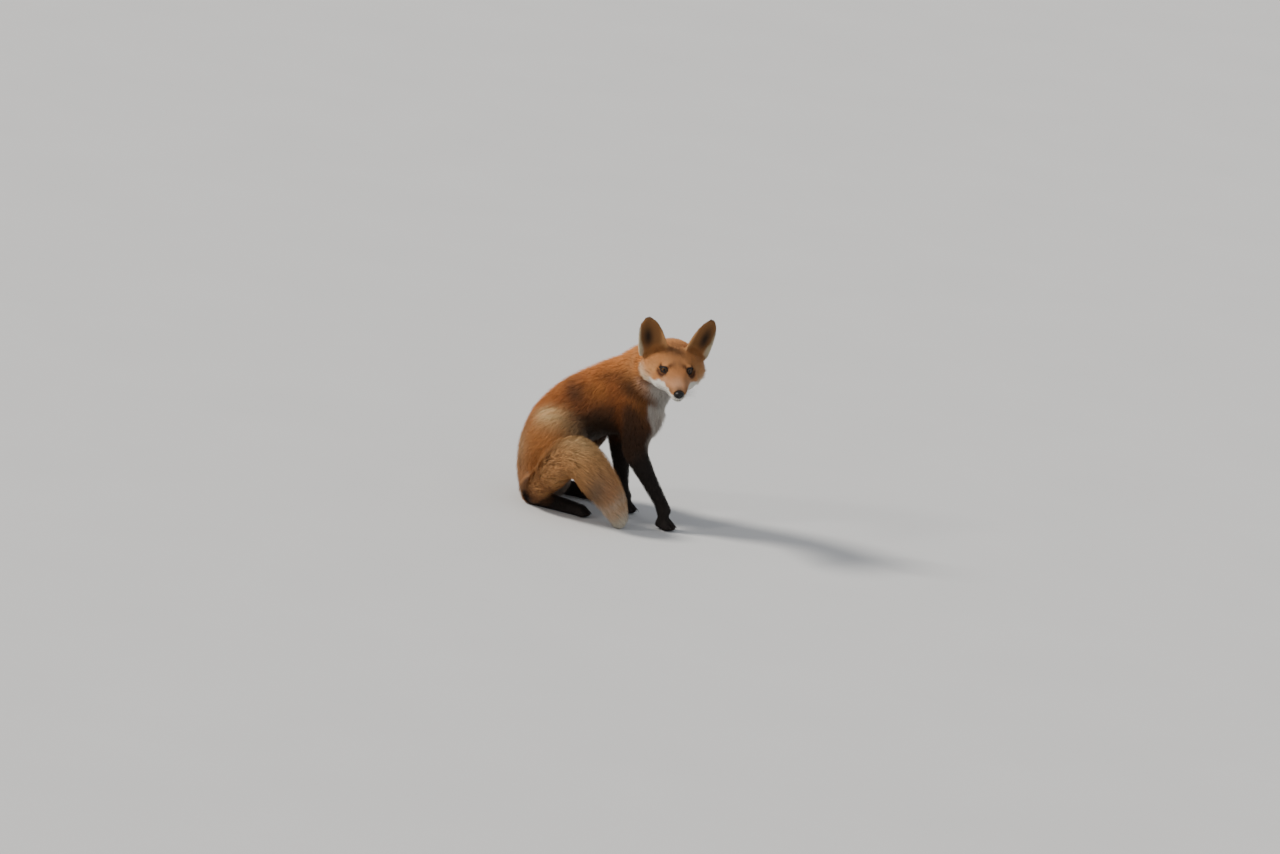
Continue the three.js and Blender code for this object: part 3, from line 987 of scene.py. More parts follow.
def coat_lie(points, normals, edges, nodes):
    lie = np.array([node_lie(node) for node in FLESH])[nodes]
    parts = PART_OF_FLESH[nodes]
    brush = in_parts(parts, *BRUSH[1:])
    lie[brush] = brush_lie(points[brush])
    head = in_parts(parts, "head", "jaw")
    from_nose = unit(points[head] - from_head(nose_at + [12, 0, 4]))
    down_the_neck = smooth(-34, -62, to_head(points[head])[:, 0])
    lie[head] = mix(from_nose, PART_LIE["neck"], down_the_neck)
    lie[in_parts(parts, "neck", "chest", "loin", "rump", "upper_arm")] += [0, 0, -HANG]
    lie = relax(across_skin(lie, normals), edges, LIE_ROUNDS)
    whorl = in_box(*WHORL)
    share = np.exp(-(((points - whorl) ** 2).sum(1) / WHORL_REACH**2)) * brush
    radial = unit(unit(points - whorl) + WHORL_DRIFT * lie)
    lie = mix(lie, radial, np.clip(share * 1.5, 0, 1))
    return across_skin(relax(lie, edges, 6), normals)


nodes = nodes_at(points)
lie = coat_lie(points, normals, edges, nodes)
print("lie of the coat found on", len(points), "points")

# %% [markdown]
# The coat's depth is measured, not assumed: it is how far each point of the finished skin lies below
# the outside of the solids, kept near the plan where the skin was modelled.

# %% The depth that the coat has to fill
def room_for_coat(points, normals, plan):
    nearest = [outline_tree.find_nearest(p)[0] for p in points.tolist()]
    room = ((np.array(nearest) - points) * normals).sum(1) / MM
    return np.clip(room, 0.5 * plan[:, DEPTH], 1.5 * plan[:, DEPTH] + 1.5)


plan = coat_plan(points, edges)
plan[:, DEPTH] = relax(room_for_coat(points, normals, plan)[:, None], edges, 6)[:, 0]
print("coat to fill, mm:", plan[:, DEPTH].min().round(1), "to", plan[:, DEPTH].max().round(1))

# %% [markdown]
# ## Markings
# The skin and the fur carry the same markings, so they are worked out once, on the points of the
# skin. Each part starts in its own colour, blended into its neighbours, and patches are laid over it:
# where the back ends and the belly begins, the bib, the pale rim of the haunch, and the mask of the
# face. Some are painted light and shade: the darker flanks, neck, throat and thigh fronts are painted
# shade, and the shoulder, the top of the brush and the rim of the haunch carry painted highlights.
# All are functions of place, and both sides of the animal carry much the same ones.

# %% Colours of each part
TINTS = {
    name: linear(code)
    for name, code in {
        "rufous": "B36A38",
        "bright": "D48846",
        # the brown of the flanks and upper arms, darker than the coat itself as painted shade
        "flank": "553722",
        # a dark brown for painted shade on the flanks, behind the shoulders and on the neck
        "saddle": "392A1E",
        "cream": "E2C08C",
        "buff": "D2B183",
        "belly": "A09890",
        "bib": "CFC9C0",
        # grey for the throat under the head, partly painted shade
        "throat": "77706A",
        "stocking": "2A2320",
        "elbow": "3E2A1E",
        "haunch": "BC7C45",
        "haunch_front": "5E4433",
        # a darker brown for the shanks and thigh fronts, partly painted shade
        "rump": "C28F62",
        "brush": "CD9862",
        "brush_dark": "9E6B44",
        "brush_low": "BD8D6C",
        # grey of the brush, darkened as painted shade
        "brush_grey": "75695A",
        "tip": "E4DAC6",
        "mask": "C0834F",
        "brow": "D09E6A",
        "muzzle": "CBA180",
        # a darker brown for the forehead, partly painted shade
        "forehead": "7F5B3E",
        "lip": "ECE8DE",
        "fringe": "E2D6BA",
        "tear": "421D10",
        "smoke": "4A382C",
        "rim": "17110F",
        "ear_back": "1E1815",
        "ear_in": "94683F",
        # painted shade in the hollow of each ear
        "ear_hollow": "241C18",
        "ear_fringe": "DACDAF",
    }.items()
}
PART_TINTS = {
    "head": "mask",
    "jaw": "lip",
    "ear": "ear_in",
    "neck": "bright",
    "chest": "rufous",
    "loin": "rufous",
    "rump": "rump",
    "upper_arm": "flank",
    "forearm": "stocking",
    "forepaw": "stocking",
    "thigh": "haunch",
    "shank": "haunch_front",
    "hindfoot": "stocking",
    "tail_root": "brush_dark",
    "tail_middle": "brush",
    "tail_end": "brush",
    "tail_tip": "tip",
}


def part_shares(parts, edges, rounds):
    return relax(np.eye(len(PARTS))[parts], edges, rounds)


def share_of(shares, *names):
    return shares[:, [PARTS.index(name) for name in names]].sum(1)


BLEND_ROUNDS = 14
shares = part_shares(PART_OF_FLESH[nodes], edges, BLEND_ROUNDS)
base_colours = np.array([TINTS[PART_TINTS[part]] for part in PARTS])
print("tints:", len(TINTS))

# %% [markdown]
# On the body the markings follow which way the skin faces. The back of a sitting fox leans, so its
# own up is up and back, and its belly faces down and forward. The sides are browner, and darkened
# further as painted shade.

# %% Markings of the body
BACKWARD_UP = unit(np.array([-0.75, 0, 0.66]))
BIB_FROM = (60, 80)  # mm ahead of the origin, where the white of the throat and chest begins
# The pale crest of each haunch, which also carries a painted highlight
CREST = (0.47, 0.93)  # along and up the box of the thigh
CREST_REACH = (48, 24)  # mm along and up
CREST_RIM = 6.75  # brings the peak of a squared share times its rest to 1
BODY_PATCHES = [
    # (node, place in its box, reach in mm, tint, strength)
    # A painted highlight: a paler, brighter patch over the right shoulder
    ("chest", (0.36, 0.07, 0.64), (26, 60, 22), "bright", 0.8),
    # Painted shade: dark patches behind each shoulder and low on each flank, on both sides
    ("chest", (0.16, 0.10, 0.52), (26, 60, 22), "saddle", 0.85),
    ("chest", (0.45, 0.10, 0.25), (44, 60, 42), "saddle", 0.95),
    ("chest", (0.20, 0.10, 0.22), (36, 60, 30), "saddle", 0.6),
    ("chest", (0.16, 0.90, 0.52), (26, 60, 22), "saddle", 0.6),
    ("chest", (0.40, 0.90, 0.25), (44, 60, 42), "saddle", 0.6),
    # Painted shade: the right side of the neck under the cheek, darkened as if the head shaded it
    ("neck", (0.42, 0.10, 0.42), (12, 40, 18), "flank", 0.7),
    ("neck", (0.28, 0.15, 0.35), (20, 40, 15), "saddle", 0.4),
    ("rump", (0.15, 0.0, 0.72), (26, 60, 34), "buff", 0.5),
    ("tail_end", (0.55, 0.10, 0.4), (36, 50, 40), "brush_low", 0.8),
    ("tail_end", (0.66, 0.10, 0.2), (30, 40, 30), "brush_dark", 0.4),
    # Grey along the forward edge of the brush: grey fur, darkened further as painted shade
    ("tail_end", (0.95, 0.3, 0.7), (20, 50, 46), "brush_grey", 0.9),
    ("tail_middle", (1.0, 0.3, 0.35), (14, 50, 40), "brush_grey", 0.7),
    ("tail_middle", (0.25, 0.2, 0.6), (34, 50, 34), "rump", 0.6),
    # A painted highlight along the top of the brush
    ("tail_middle", (0.60, 0.30, 0.95), (48, 60, 30), "cream", 0.95),
]


def paint(colours, tint, share):
    return mix(colours, TINTS[tint], np.clip(share, 0, 1))


def ahead_of_throat(points):
    return smooth(*BIB_FROM, points[:, 0] / MM)


def haunch_crest_and_highlight(points):
    """A soft patch over the top of each haunch, seen from its side: pale fur with a painted highlight."""
    crest = np.zeros(len(points))
    for name in SIDES:
        thigh = f"thigh_{name}"
        away = (points - in_box(thigh, (CREST[0], 0.5, CREST[1])))[:, [0, 2]] / MM / CREST_REACH
        near = np.abs(points[:, 1] - node_centre(thigh)[1]) < 50 * MM
        crest = np.maximum(crest, near * np.exp(-(away**2).sum(1)))
    return crest


def body_markings(points, normals, shares):
    colours = shares @ base_colours
    mottle = ripple(points, 26 * MM, 1)
    facing = normals @ BACKWARD_UP + 0.08 * mottle
    trunk = share_of(shares, "chest", "loin", "neck")
    in_front = ahead_of_throat(points)
    # The sides of the trunk go to the flank's brown: a browner flank made darker by painted shade
    colours = paint(colours, "flank", trunk * smooth(0.30, -0.15, facing))
    colours = paint(colours, "bright", trunk * smooth(0.45, 0.95, facing) * 0.6)
    not_neck = 1 - share_of(shares, "neck") * (1 - in_front)
    colours = paint(colours, "belly", trunk * smooth(-0.25, -0.7, facing) * not_neck)
    ahead = normals[:, 0] - 0.35 * normals[:, 2] + 0.1 * mottle
    bib = share_of(shares, "neck", "chest") * smooth(0.62, 0.9, ahead) * in_front
    colours = paint(colours, "bib", bib)
    # Grey over the top of the bib, under the head: grey throat fur with painted shade of the head
    colours = paint(colours, "throat", 0.75 * bib * smooth(255 * MM, 300 * MM, points[:, 2]))
    arm = share_of(shares, "upper_arm")
    # Dark towards the elbow: the black of the legs, carried higher up the arm as painted shade
    colours = paint(colours, "elbow", arm * smooth(0.25, 0.17, points[:, 2]))
    facing_ahead = smooth(0.45, 0.8, normals[:, 0] - 0.4 * normals[:, 2])
    colours = paint(colours, "belly", 0.8 * share_of(shares, "rump", "thigh", "loin") * facing_ahead)
    colours = paint(colours, "bib", arm * smooth(0.72, 0.95, ahead) * 0.5)
    thigh = share_of(shares, "thigh")
    # The front of each thigh in a darker brown: partly the coat's colour, partly painted shade
    colours = paint(colours, "haunch_front", thigh * smooth(-90 * MM, -50 * MM, points[:, 0]))
    # A cream crest and rim along the top of each thigh: pale fur with a painted highlight
    rim = thigh**2 * (1 - thigh) * CREST_RIM
    colours = paint(colours, "cream", haunch_crest_and_highlight(points) * (0.75 * thigh + 0.6 * rim))
    for node, place, reach, tint, strength in BODY_PATCHES:
        away = (points - in_box(node, place)) / MM / reach
        colours = paint(colours, tint, strength * np.exp(-(away**2).sum(1)))
    return colours


coat_colours = body_markings(points, normals, shares)
print("body patches:", len(BODY_PATCHES))

# %% [markdown]
# A fox's mask is orange with a white lip and cheek below a line, a dark crescent under each eye,
# smoky sides to the muzzle and black rims to the mouth and eyes. Its darker forehead and the grey of
# the white towards the throat are partly painted shade. It is laid out in the head's frame, and the
# crescent and the eye's corners in the plane that faces the eye.

# %% Markings of the face
WHITE_LINE_X = (-60, -47, -17, 4, 12, 25, 43, 74)
WHITE_LINE_Z = (-42, -39, -30, -24, -19, -18.5, -25, -29)
FACE_PATCHES = [
    # (place (x, y, z), reach (x, y, z), tint, strength): y is the same on both sides
    ((4, 24, 20), (14, 12, 8), "brow", 0.8),
    ((-16, 40, -8), (12, 10, 14), "brow", 0.7),
    # Darker crown and a line between the eyes: a darker forehead, deepened by painted shade
    ((-18, 0, 30), (30, 24, 20), "forehead", 0.6),
    ((12, 5, 16), (12, 6, 10), "forehead", 0.7),
    ((52, 0, -14), (26, 18, 14), "muzzle", 0.8),
    ((30, 30, -16), (14, 16, 8), "muzzle", 0.7),
    ((11, 14, 9), (5, 6, 9), "tear", 0.8),
    ((55, 14, -24), (13, 9, 5), "smoke", 0.5),
    ((66, 0, -17), (7, 9, 6), "smoke", 0.55),
    ((-28, 48, -32), (22, 13, 9), "fringe", 0.8),
    ((-44, 54, -22), (12, 12, 12), "fringe", 0.45),
]
TEAR_LINE = np.array([(-8, -2), (-9, -8), (-4, -12.5), (4, -12.5), (10, -9)])
TEAR_REACH = 3.0
INNER_CORNER = np.array([(-8, -1.5), (-12, -4)])
OUTER_CORNER = np.array([(8, 0.2), (11, -0.4)])


def path_distance(points, path):
    """Distance of each point from a bent line, in the plane that faces the eye."""
    away = []
    for first, second in zip(path[:-1], path[1:]):
        step = second - first
        t = np.clip((points - first) @ step / (step @ step), 0, 1)
        away.append(np.linalg.norm(points - first - t[:, None] * step, axis=1))
    return np.min(away, axis=0)


def face_markings(colours, points, shares):
    local = mirrored(to_head(points))
    x, y, z = local.T
    z = z + 1.6 * ripple(points, 9 * MM, 2)
    head = share_of(shares, "head")
    for place, reach, tint, strength in FACE_PATCHES:
        away = (local - place) / reach
        colours = paint(colours, tint, head * strength * np.exp(-(away**2).sum(1)))
    across_eye, up_eye, _ = ((local - (0, eye_half, 0)) @ eye_axes(1)).T
    over_face = np.stack([across_eye, up_eye], 1)
    tear = np.exp(-((path_distance(over_face, TEAR_LINE) / TEAR_REACH) ** 2)) * (x > -12)
    colours = paint(colours, "tear", 0.95 * head * tear)
    line = np.interp(x, WHITE_LINE_X, WHITE_LINE_Z)
    below = smooth(1.5, -2.5, z - line) * share_of(shares, "head", "jaw")
    below = below * (1 - 0.8 * smooth(26, 42, y) * smooth(-12, -30, x))
    below = below * (1 - (1 - ahead_of_throat(points)) * smooth(-24, -44, x))
    colours = paint(colours, "lip", below)
    # Greyer back towards the throat: grey fur with painted shade of the head
    colours = paint(colours, "belly", 0.6 * below * smooth(-2, -26, x))
    lips = smooth(1.9, 1.0, np.abs(local[:, 2] - mouth_line(x)))
    lips = lips * smooth(MOUTH_X[0] - 2, MOUTH_X[0] + 3, x)
    colours = paint(colours, "rim", lips * (y < 22))
    near_nose = np.linalg.norm((local - nose_at) / (1.1, 1.25, 1.1), axis=1)
    colours = paint(colours, "rim", smooth(10.5, 8.5, near_nose))
    colours = paint(colours, "tear", 0.6 * smooth(7.0, 2.5, eye_distance(points)))
    corners = (path_distance(over_face, INNER_CORNER), path_distance(over_face, OUTER_CORNER))
    colours = paint(colours, "rim", head * smooth(2.2, 0.8, np.minimum(*corners)) * (x > -14))
    return paint(colours, "rim", smooth(5.0, 2.8, eye_distance(points)))


coat_colours = face_markings(coat_colours, points, shares)
print("face patches:", len(FACE_PATCHES))

# %% [markdown]
# The backs of the ears are black over a rufous base. Inside, the cup is brown and darker in its
# hollow, which is painted shade, and long cream hairs fringe its outer edge. Each ear has axes of its
# own: up to the tip, out from the head, and forward out of the cup.

# %% Markings of the ears
def ear_place(points, name):
    """Share of the way up the ear, place across it from -1 inside to 1 outside, and its forward."""
    node = f"ear_{name}"
    up = long_axis(node, head_up)
    outward = unit(across_skin((head_left * SIDES[name])[None], up[None])[0])
    forward = np.cross(outward, up) * SIDES[name]
    solid = read_points(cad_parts[node].data)
    low, high = (solid @ up).min(), (solid @ up).max()
    side_low, side_high = (solid @ outward).min(), (solid @ outward).max()
    height = (points @ up - low) / (high - low)
    across = (points @ outward - side_low) / (side_high - side_low) * 2 - 1
    return height, across, forward


def ear_fringe(height, across):
    """Where the cream hairs grow: the outer edge of the cup, widest at its foot."""
    return smooth(0.70, 0.93, across + 0.2 * smooth(0.45, 0.1, height)) * smooth(0.97, 0.75, height)


EAR_NEAR = 70 * MM  # round an ear's centre, so that its place means something there


def ear_markings(colours, points, normals, shares):
    ear = share_of(shares, "ear")
    for name in SIDES:
        height, across, forward = ear_place(points, name)
        here = ear * (np.abs(points - node_centre(f"ear_{name}")).max(1) < EAR_NEAR)
        front = smooth(-0.2, 0.3, normals @ forward)
        behind = here * (1 - front)
        colours = paint(colours, "rufous", behind)
        colours = paint(colours, "ear_back", behind * smooth(0.25, 0.5, height))
        inside = here * front
        colours = paint(colours, "mask", inside * smooth(0.35, 0.1, height))
        # Painted shade darkens the hollow of each cup
        hollow = np.exp(-(((across - 0.28) / 0.36) ** 2) - ((height - 0.46) / 0.3) ** 2)
        colours = paint(colours, "ear_hollow", inside * hollow * 0.95)
        colours = paint(colours, "ear_fringe", inside * ear_fringe(height, across))
        inner_edge = smooth(-0.4, -0.85, across) * smooth(0.95, 0.7, height)
        colours = paint(colours, "brow", inside * inner_edge)
        colours = paint(colours, "ear_back", 0.8 * here * smooth(0.9, 1.0, height))
    return colours


coat_colours = ear_markings(coat_colours, points, normals, shares)
coat_colours = relax(coat_colours, edges, 1)
print("colours on", len(coat_colours), "points")

# %% [markdown]
# ## The skin's finish
# Between the locks the skin and the felt of under fur show. Under long fur they are darker than the
# locks. Under the short fur of the face and feet they are a little lighter, painted light that offsets
# the shade the locks cast between them. A noise breaks the colour up, and a fine bump gives the felt
# its nap.

# %% Skin
# Tones above 1 are painted light.
UNDER_FUR, SHORT_FUR_PAINTED_LIGHT = 0.88, 1.15  # the skin's tone under long and under short fur
FUR_DEPTHS = (4.5, 1.5)  # depths of the coat, in mm, between which it goes from one to the other
FELT_GRAIN = 1400.0  # grains of the noise in a metre
FELT_TONES = (0.72, 1.2)
FELT_NAP = 0.5 * MM


def colour_attribute(mesh, name, colours):
    layer = mesh.attributes.new(name, "FLOAT_COLOR", "POINT")
    rgba = np.concatenate([np.clip(colours, 0, 1), np.ones((len(colours), 1))], 1)
    layer.data.foreach_set("color", rgba.astype(np.float32).ravel())


def felt_finish():
    material, shader = finish("skin", Roughness=0.75, Specular_IOR_Level=0.25)
    colour = add_node(material, "ShaderNodeAttribute", attribute_name="Coat")
    noise = object_noise(material, FELT_GRAIN)
    darkest, lightest = FELT_TONES
    levels = {"Value": noise.outputs["Fac"], "From Min": 0.25, "From Max": 0.75}
    levels = {**levels, "To Min": darkest, "To Max": lightest}
    shade = add_node(material, "ShaderNodeMapRange", levels)
    tinted = times_colour(material, colour.outputs["Color"], shade.outputs[0])
    link(material, tinted, shader.inputs["Base Color"])
    add_bump(material, shader, noise.outputs["Fac"], FELT_NAP)
    return material


def skin():
    short = smooth(*FUR_DEPTHS, plan[:, DEPTH])
    tone = UNDER_FUR + (SHORT_FUR_PAINTED_LIGHT - UNDER_FUR) * short
    colour_attribute(skin_mesh, "Coat", coat_colours * tone[:, None])
    skin_mesh.materials.clear()
    skin_mesh.materials.append(felt_finish())
    return declared(new_object("skin", skin_mesh), FLESH)


skin()
print("skin finished")

# %% [markdown]
# ## The coat
# Fur could be particle hair or curves, but a model that is handed on needs plain mesh. So each lock is
# a thin closed blade with a ridge along its back. Its root is drawn at random on the skin, as many to
# a square centimetre as the plan says, and everything it needs is read there from the skin's points.

# %% Roots of the locks
GUARD_SHARE = 0.28  # longer, thinner, darker-tipped hairs among the under fur
EYE_CLEAR = 1.6  # mm of bare skin round the eyes
LIP_CLEAR = 1.1
NOSE_CLEAR = 9.8
FRINGE_LONGER = 0.9  # how much longer the hairs at the ear's edge are
CUT_SHORT = 0.55  # how much shorter the hairs next to the eyes and the mouth are
UNDERNEATH = 0.3  # how much of the coat grows where the fox stands or sits on it
ON_FLOOR = (8 * MM, -0.75)  # no higher than this, and facing down by more than this


def draw_roots():
    """A triangle and three weights for each root, spread evenly for the density that is planned."""
    corners = points[triangles]
    sides = corners[:, 1:] - corners[:, :1]
    area = np.linalg.norm(np.cross(sides[:, 0], sides[:, 1]), axis=1) / 2
    wanted = area * 1e4 * plan[triangles, DENSITY].mean(1)
    height, facing = ON_FLOOR
    underneath = (corners[:, :, 2].mean(1) < height) & (normals[triangles, 2].mean(1) < facing)
    wanted *= np.where(underneath, UNDERNEATH, 1)
    steps = np.floor(np.cumsum(wanted) + rng.uniform())
    count = np.diff(np.concatenate([[0], steps])).astype(int)
    chosen = np.repeat(np.arange(len(triangles)), count)
    u, v = rng.uniform(size=(2, len(chosen)))
    flip = u + v > 1
    u, v = np.where(flip, 1 - u, u), np.where(flip, 1 - v, v)
    weights = np.stack([1 - u - v, u, v], 1)
    return chosen, weights


def at_roots(values, chosen, weights):
    return np.einsum("nk,nkd->nd", weights, values[triangles[chosen]])


chosen, weights = draw_roots()
roots = {
    "place": at_roots(points, chosen, weights),
    "normal": unit(at_roots(normals, chosen, weights)),
    "lie": unit(at_roots(lie, chosen, weights)),
    "plan": at_roots(plan, chosen, weights),
    "colour": at_roots(coat_colours, chosen, weights),
    "node": nodes[triangles[chosen, 0]],
}


def lip_distance(local):
    """Millimetres above or below the line of the mouth, in front of its corner."""
    x, _, z = local.T
    return np.where(x > MOUTH_X[0], np.abs(z - mouth_line(x)), FAR)


def off_bare_skin(roots):
    local = to_head(roots["place"])
    off_nose = np.linalg.norm(local - nose_at, axis=1) > NOSE_CLEAR
    off_lips = (lip_distance(local) >= LIP_CLEAR) | (local[:, 0] >= FACE_TO)
    keep = (eye_distance(roots["place"]) > EYE_CLEAR) & off_nose & off_lips
    return {name: values[keep] for name, values in roots.items()}


def cut_round_eyes_and_mouth(roots):
    at_mouth = smooth(6, 1.5, lip_distance(to_head(roots["place"])))
    at_eye = smooth(9, 3, eye_distance(roots["place"]))
    roots["plan"][:, LENGTH] *= 1 - CUT_SHORT * np.maximum(at_mouth, at_eye)


def lengthen_ear_fringes(roots):
    for name in SIDES:
        height, across, forward = ear_place(roots["place"], name)
        fringe = ear_fringe(height, across) * smooth(-0.2, 0.3, roots["normal"] @ forward)
        fringe = fringe * (roots["node"] == FLESH.index(f"ear_{name}"))
        roots["plan"][:, LENGTH] *= 1 + FRINGE_LONGER * fringe


roots = off_bare_skin(roots)
cut_round_eyes_and_mouth(roots)
lengthen_ear_fringes(roots)
print("locks:", len(roots["place"]))

# %% [markdown]
# A lock leaves the skin steeply and bends over to lie along the body. Its tip is put where the coat's
# outside is, a little below it for under fur and at it for guard hairs, so the outline of the solids
# is kept. Neighbouring tips are drawn together into clumps, as damp or dense fur does.

# %% Shape of the locks
CLUMP = 11  # locks in a clump
CLUMP_PULL = 0.2
CLUMP_OPEN = 0.35  # how far apart the tips of a clump stay
CLUMP_REACH = 9 * MM
SWIRL = ((45 * MM, 0.18), (13 * MM, 0.10))  # distance over which the lie wanders, and by how much
WANDER = 0.12  # how much each lock wanders by itself
RAISED = 0.45  # the share by which a tip that ends too low is raised, while one too high drops fully
ROOT_SUNK = 0.3 * MM
UNEVEN_LENGTH, GUARD_LONGER = (0.62, 1.08), 1.18  # of the length that is planned
UNEVEN_WIDTH, GUARD_THINNER = (0.75, 1.2), 0.65
SHORTEST = 1.3  # a lock's least length, in depths of the coat
TIP_BELOW = 0.05  # how far below the outside a tip of under fur ends at least, in depths of the coat
GUARD_PROUD = 0.8 * MM  # how far beyond the outside the tips of long guard hairs end
LONG_FUR = (6 * MM, 16 * MM)  # between these lengths clumps and proud guard hairs set in
STEEPEST = 0.85  # the most that a lock rises, as a share of its length
BEND_AT = 0.42  # how far along its length it bends over


def wandering_lie(place, normal, direction):
    turn = WANDER * rng.normal(size=len(place))
    for seed, (size, amount) in enumerate(SWIRL):
        turn += amount * ripple(place, size, 30 + seed)
    side = np.cross(normal, direction)
    return direction * np.cos(turn)[:, None] + side * np.sin(turn)[:, None]


def clump_tips(place, tips, shares):
    centres = rng.permutation(len(place))[: len(place) // CLUMP]
    tree = KDTree(len(centres))
    for index, root in enumerate(place[centres].tolist()):
        tree.insert(root, index)
    tree.balance()
    nearest = centres[[tree.find(root)[1] for root in place.tolist()]]
    gathered = tips[nearest] + CLUMP_OPEN * (place - place[nearest])
    close = np.linalg.norm(place - place[nearest], axis=1) < CLUMP_REACH
    return mix(tips, gathered, shares * close)


def to_coat_surface(tips, below):
    """The tips moved to lie that far below the coat's outside."""
    found = [outline_tree.find_nearest(tip)[:2] for tip in tips.tolist()]
    surface = np.array([place for place, _ in found])
    outward = np.array([normal for _, normal in found])
    height = ((tips - surface) * outward).sum(1)
    lift = -below - height
    return tips + outward * np.where(lift < 0, lift, RAISED * lift)[:, None]


def lock_shapes():
    """Start, bend, tip and width of each lock, and which of them are guard hairs."""
    place, normal = roots["place"], roots["normal"]
    depth, length, width = (roots["plan"][:, k] * MM for k in (DEPTH, LENGTH, WIDTH))
    guard = rng.uniform(size=len(place)) < GUARD_SHARE
    length = length * rng.uniform(*UNEVEN_LENGTH, len(place)) * np.where(guard, GUARD_LONGER, 1.0)
    length = np.maximum(length, SHORTEST * depth)
    width = width * rng.uniform(*UNEVEN_WIDTH, len(place)) * np.where(guard, GUARD_THINNER, 1.0)
    direction = wandering_lie(place, normal, roots["lie"])
    uneven = 0.25 + 0.25 * smooth(2 * MM, 8 * MM, depth)
    below = depth * np.where(guard, 0, TIP_BELOW + uneven * rng.uniform(0, 1, len(place)))
    rise = np.minimum((depth - below) / length, STEEPEST)
    run = np.sqrt(1 - rise**2)
    tips = place + (direction * run[:, None] + normal * rise[:, None]) * length[:, None]
    long_fur = smooth(*LONG_FUR, length)
    tips = clump_tips(place, tips, CLUMP_PULL * long_fur * rng.uniform(0.3, 1, len(place)))
    tips = to_coat_surface(tips, below - np.where(guard, GUARD_PROUD, 0) * long_fur)
    steep = np.minimum(1.8 * rise + 0.08, 1.0)
    bend = place + (direction * run[:, None] + normal * steep[:, None]) * length[:, None] * BEND_AT
    return place - normal * ROOT_SUNK, bend, tips, width, guard


start, bend, tips, widths, guard = lock_shapes()
print("mean length, mm:", (np.linalg.norm(tips - start, axis=1).mean() / MM).round(1))

# %% [markdown]
# Each piece of the coat takes the locks of a few nodes. A lock is darker at its root, where it sits in
# the shade of the rest, and some guard hairs have black tips. Its patch of the OFBake map lies where
# its root is when each node's skin is unrolled about the node's long axis.

# %% Pieces of the coat
COAT_PIECES = {
    # piece: (parts, sections along a lock, slot)
    "coat_face": (("head", "jaw"), 2, "coat_red"),
    "coat_head": (("head",), 2, "coat_red"),
    "coat_ears": (("ear",), 2, "coat_black"),
    "coat_neck": (("neck",), 2, "coat_red"),
    "coat_chest": (("chest",), 2, "coat_red"),
    "coat_loin": (("loin",), 2, "coat_red"),
    "coat_rump": (("rump",), 2, "coat_red"),
    "coat_arms": (("upper_arm",), 2, "coat_red"),
    "coat_forelegs": (("forearm", "forepaw"), 2, "coat_black"),
    "coat_thighs": (("thigh",), 2, "coat_red"),
    "coat_hindlegs": (("shank", "hindfoot"), 2, "coat_black"),
    "coat_tail_root": (("tail_root",), 2, "brush"),
    "coat_tail_middle": (("tail_middle",), 3, "brush"),
    "coat_tail_end": (("tail_end",), 3, "brush"),
    "coat_tail_tip": (("tail_tip",), 3, "coat_white"),
}
FACE_END = -8  # x in the head's frame where the short fur of the face gives way
BAKE_PATCH = 0.003  # a lock's own width and height on the map
BAKE_MARGIN = 0.03  # left free round each node's share of the map
ROOT_TONE, TIP_TONE = 0.7, 1.08
UNEVEN_TONE = (0.88, 1.12)  # from lock to lock
TICKED, TICKED_DARKER = 0.2, 0.6  # share of the guard hairs with dark tips, and how dark those are
TICKED_LENGTHS = (14, 22)  # lengths of lock, in mm, between which dark tips set in
STREAKS = (7.0, 0.35, 1.0)  # how often the streaks repeat in a mm across a lock and along it
STREAK_TONES = (0.78, 1.18)
STREAK_DEPTH = 0.12 * MM
STRAND_SHIFT = 60  # mm within which each lock's streaks are shifted, so that no two are alike
RINGS = {2: (0, 0.45), 3: (0, 0.3, 0.66)}  # where along a lock its sections are
SWELL = {2: (0.75, 1.0), 3: (0.7, 1.0, 0.75)}  # how wide each of them is
RIDGE = 0.36  # its height, of half the width
LOWEST = 0.5 * MM


def unrolled(place, node):
    """Place on the unrolled skin of each root's own node, from 0 to 1 both ways."""
    flat = np.zeros((len(place), 2))
    for number in np.unique(node):
        name = FLESH[number]
        axis = long_axis(name, (1, 0, 1))
        side = unit(np.cross(axis, [0.3, 1, 0.2]))
        third = np.cross(axis, side)
        here = node == number
        local = place[here] - node_centre(name)
        around = np.arctan2(local @ third, local @ side) / math.tau + 0.5
        along = local @ axis
        along = (along - along.min()) / max(np.ptp(along), 1e-6)
        flat[here] = np.stack([around, along], 1)
    return flat


def bake_places(place, node):
    cells = {number: k for k, number in enumerate(np.unique(node))}
    cell = np.array([cells[number] for number in node])
    flat = unrolled(place, node) * (1 - 2 * BAKE_MARGIN) + BAKE_MARGIN
    flat[:, 0] = (flat[:, 0] + cell) / len(cells)
    return flat


def blade_faces(sections):
    """Triangles of one closed three-sided blade: its root, its sides and its tip, the last point."""
    faces = [(0, 2, 1)]
    for s in range(sections - 1):
        for k in range(3):
            n = (k + 1) % 3
            a, c = s * 3, s * 3 + 3
            faces += [(a + k, a + n, c + n), (a + k, c + n, c + k)]
    last = (sections - 1) * 3
    return np.array(faces + [(last + k, last + (k + 1) % 3, last + 3) for k in range(3)])


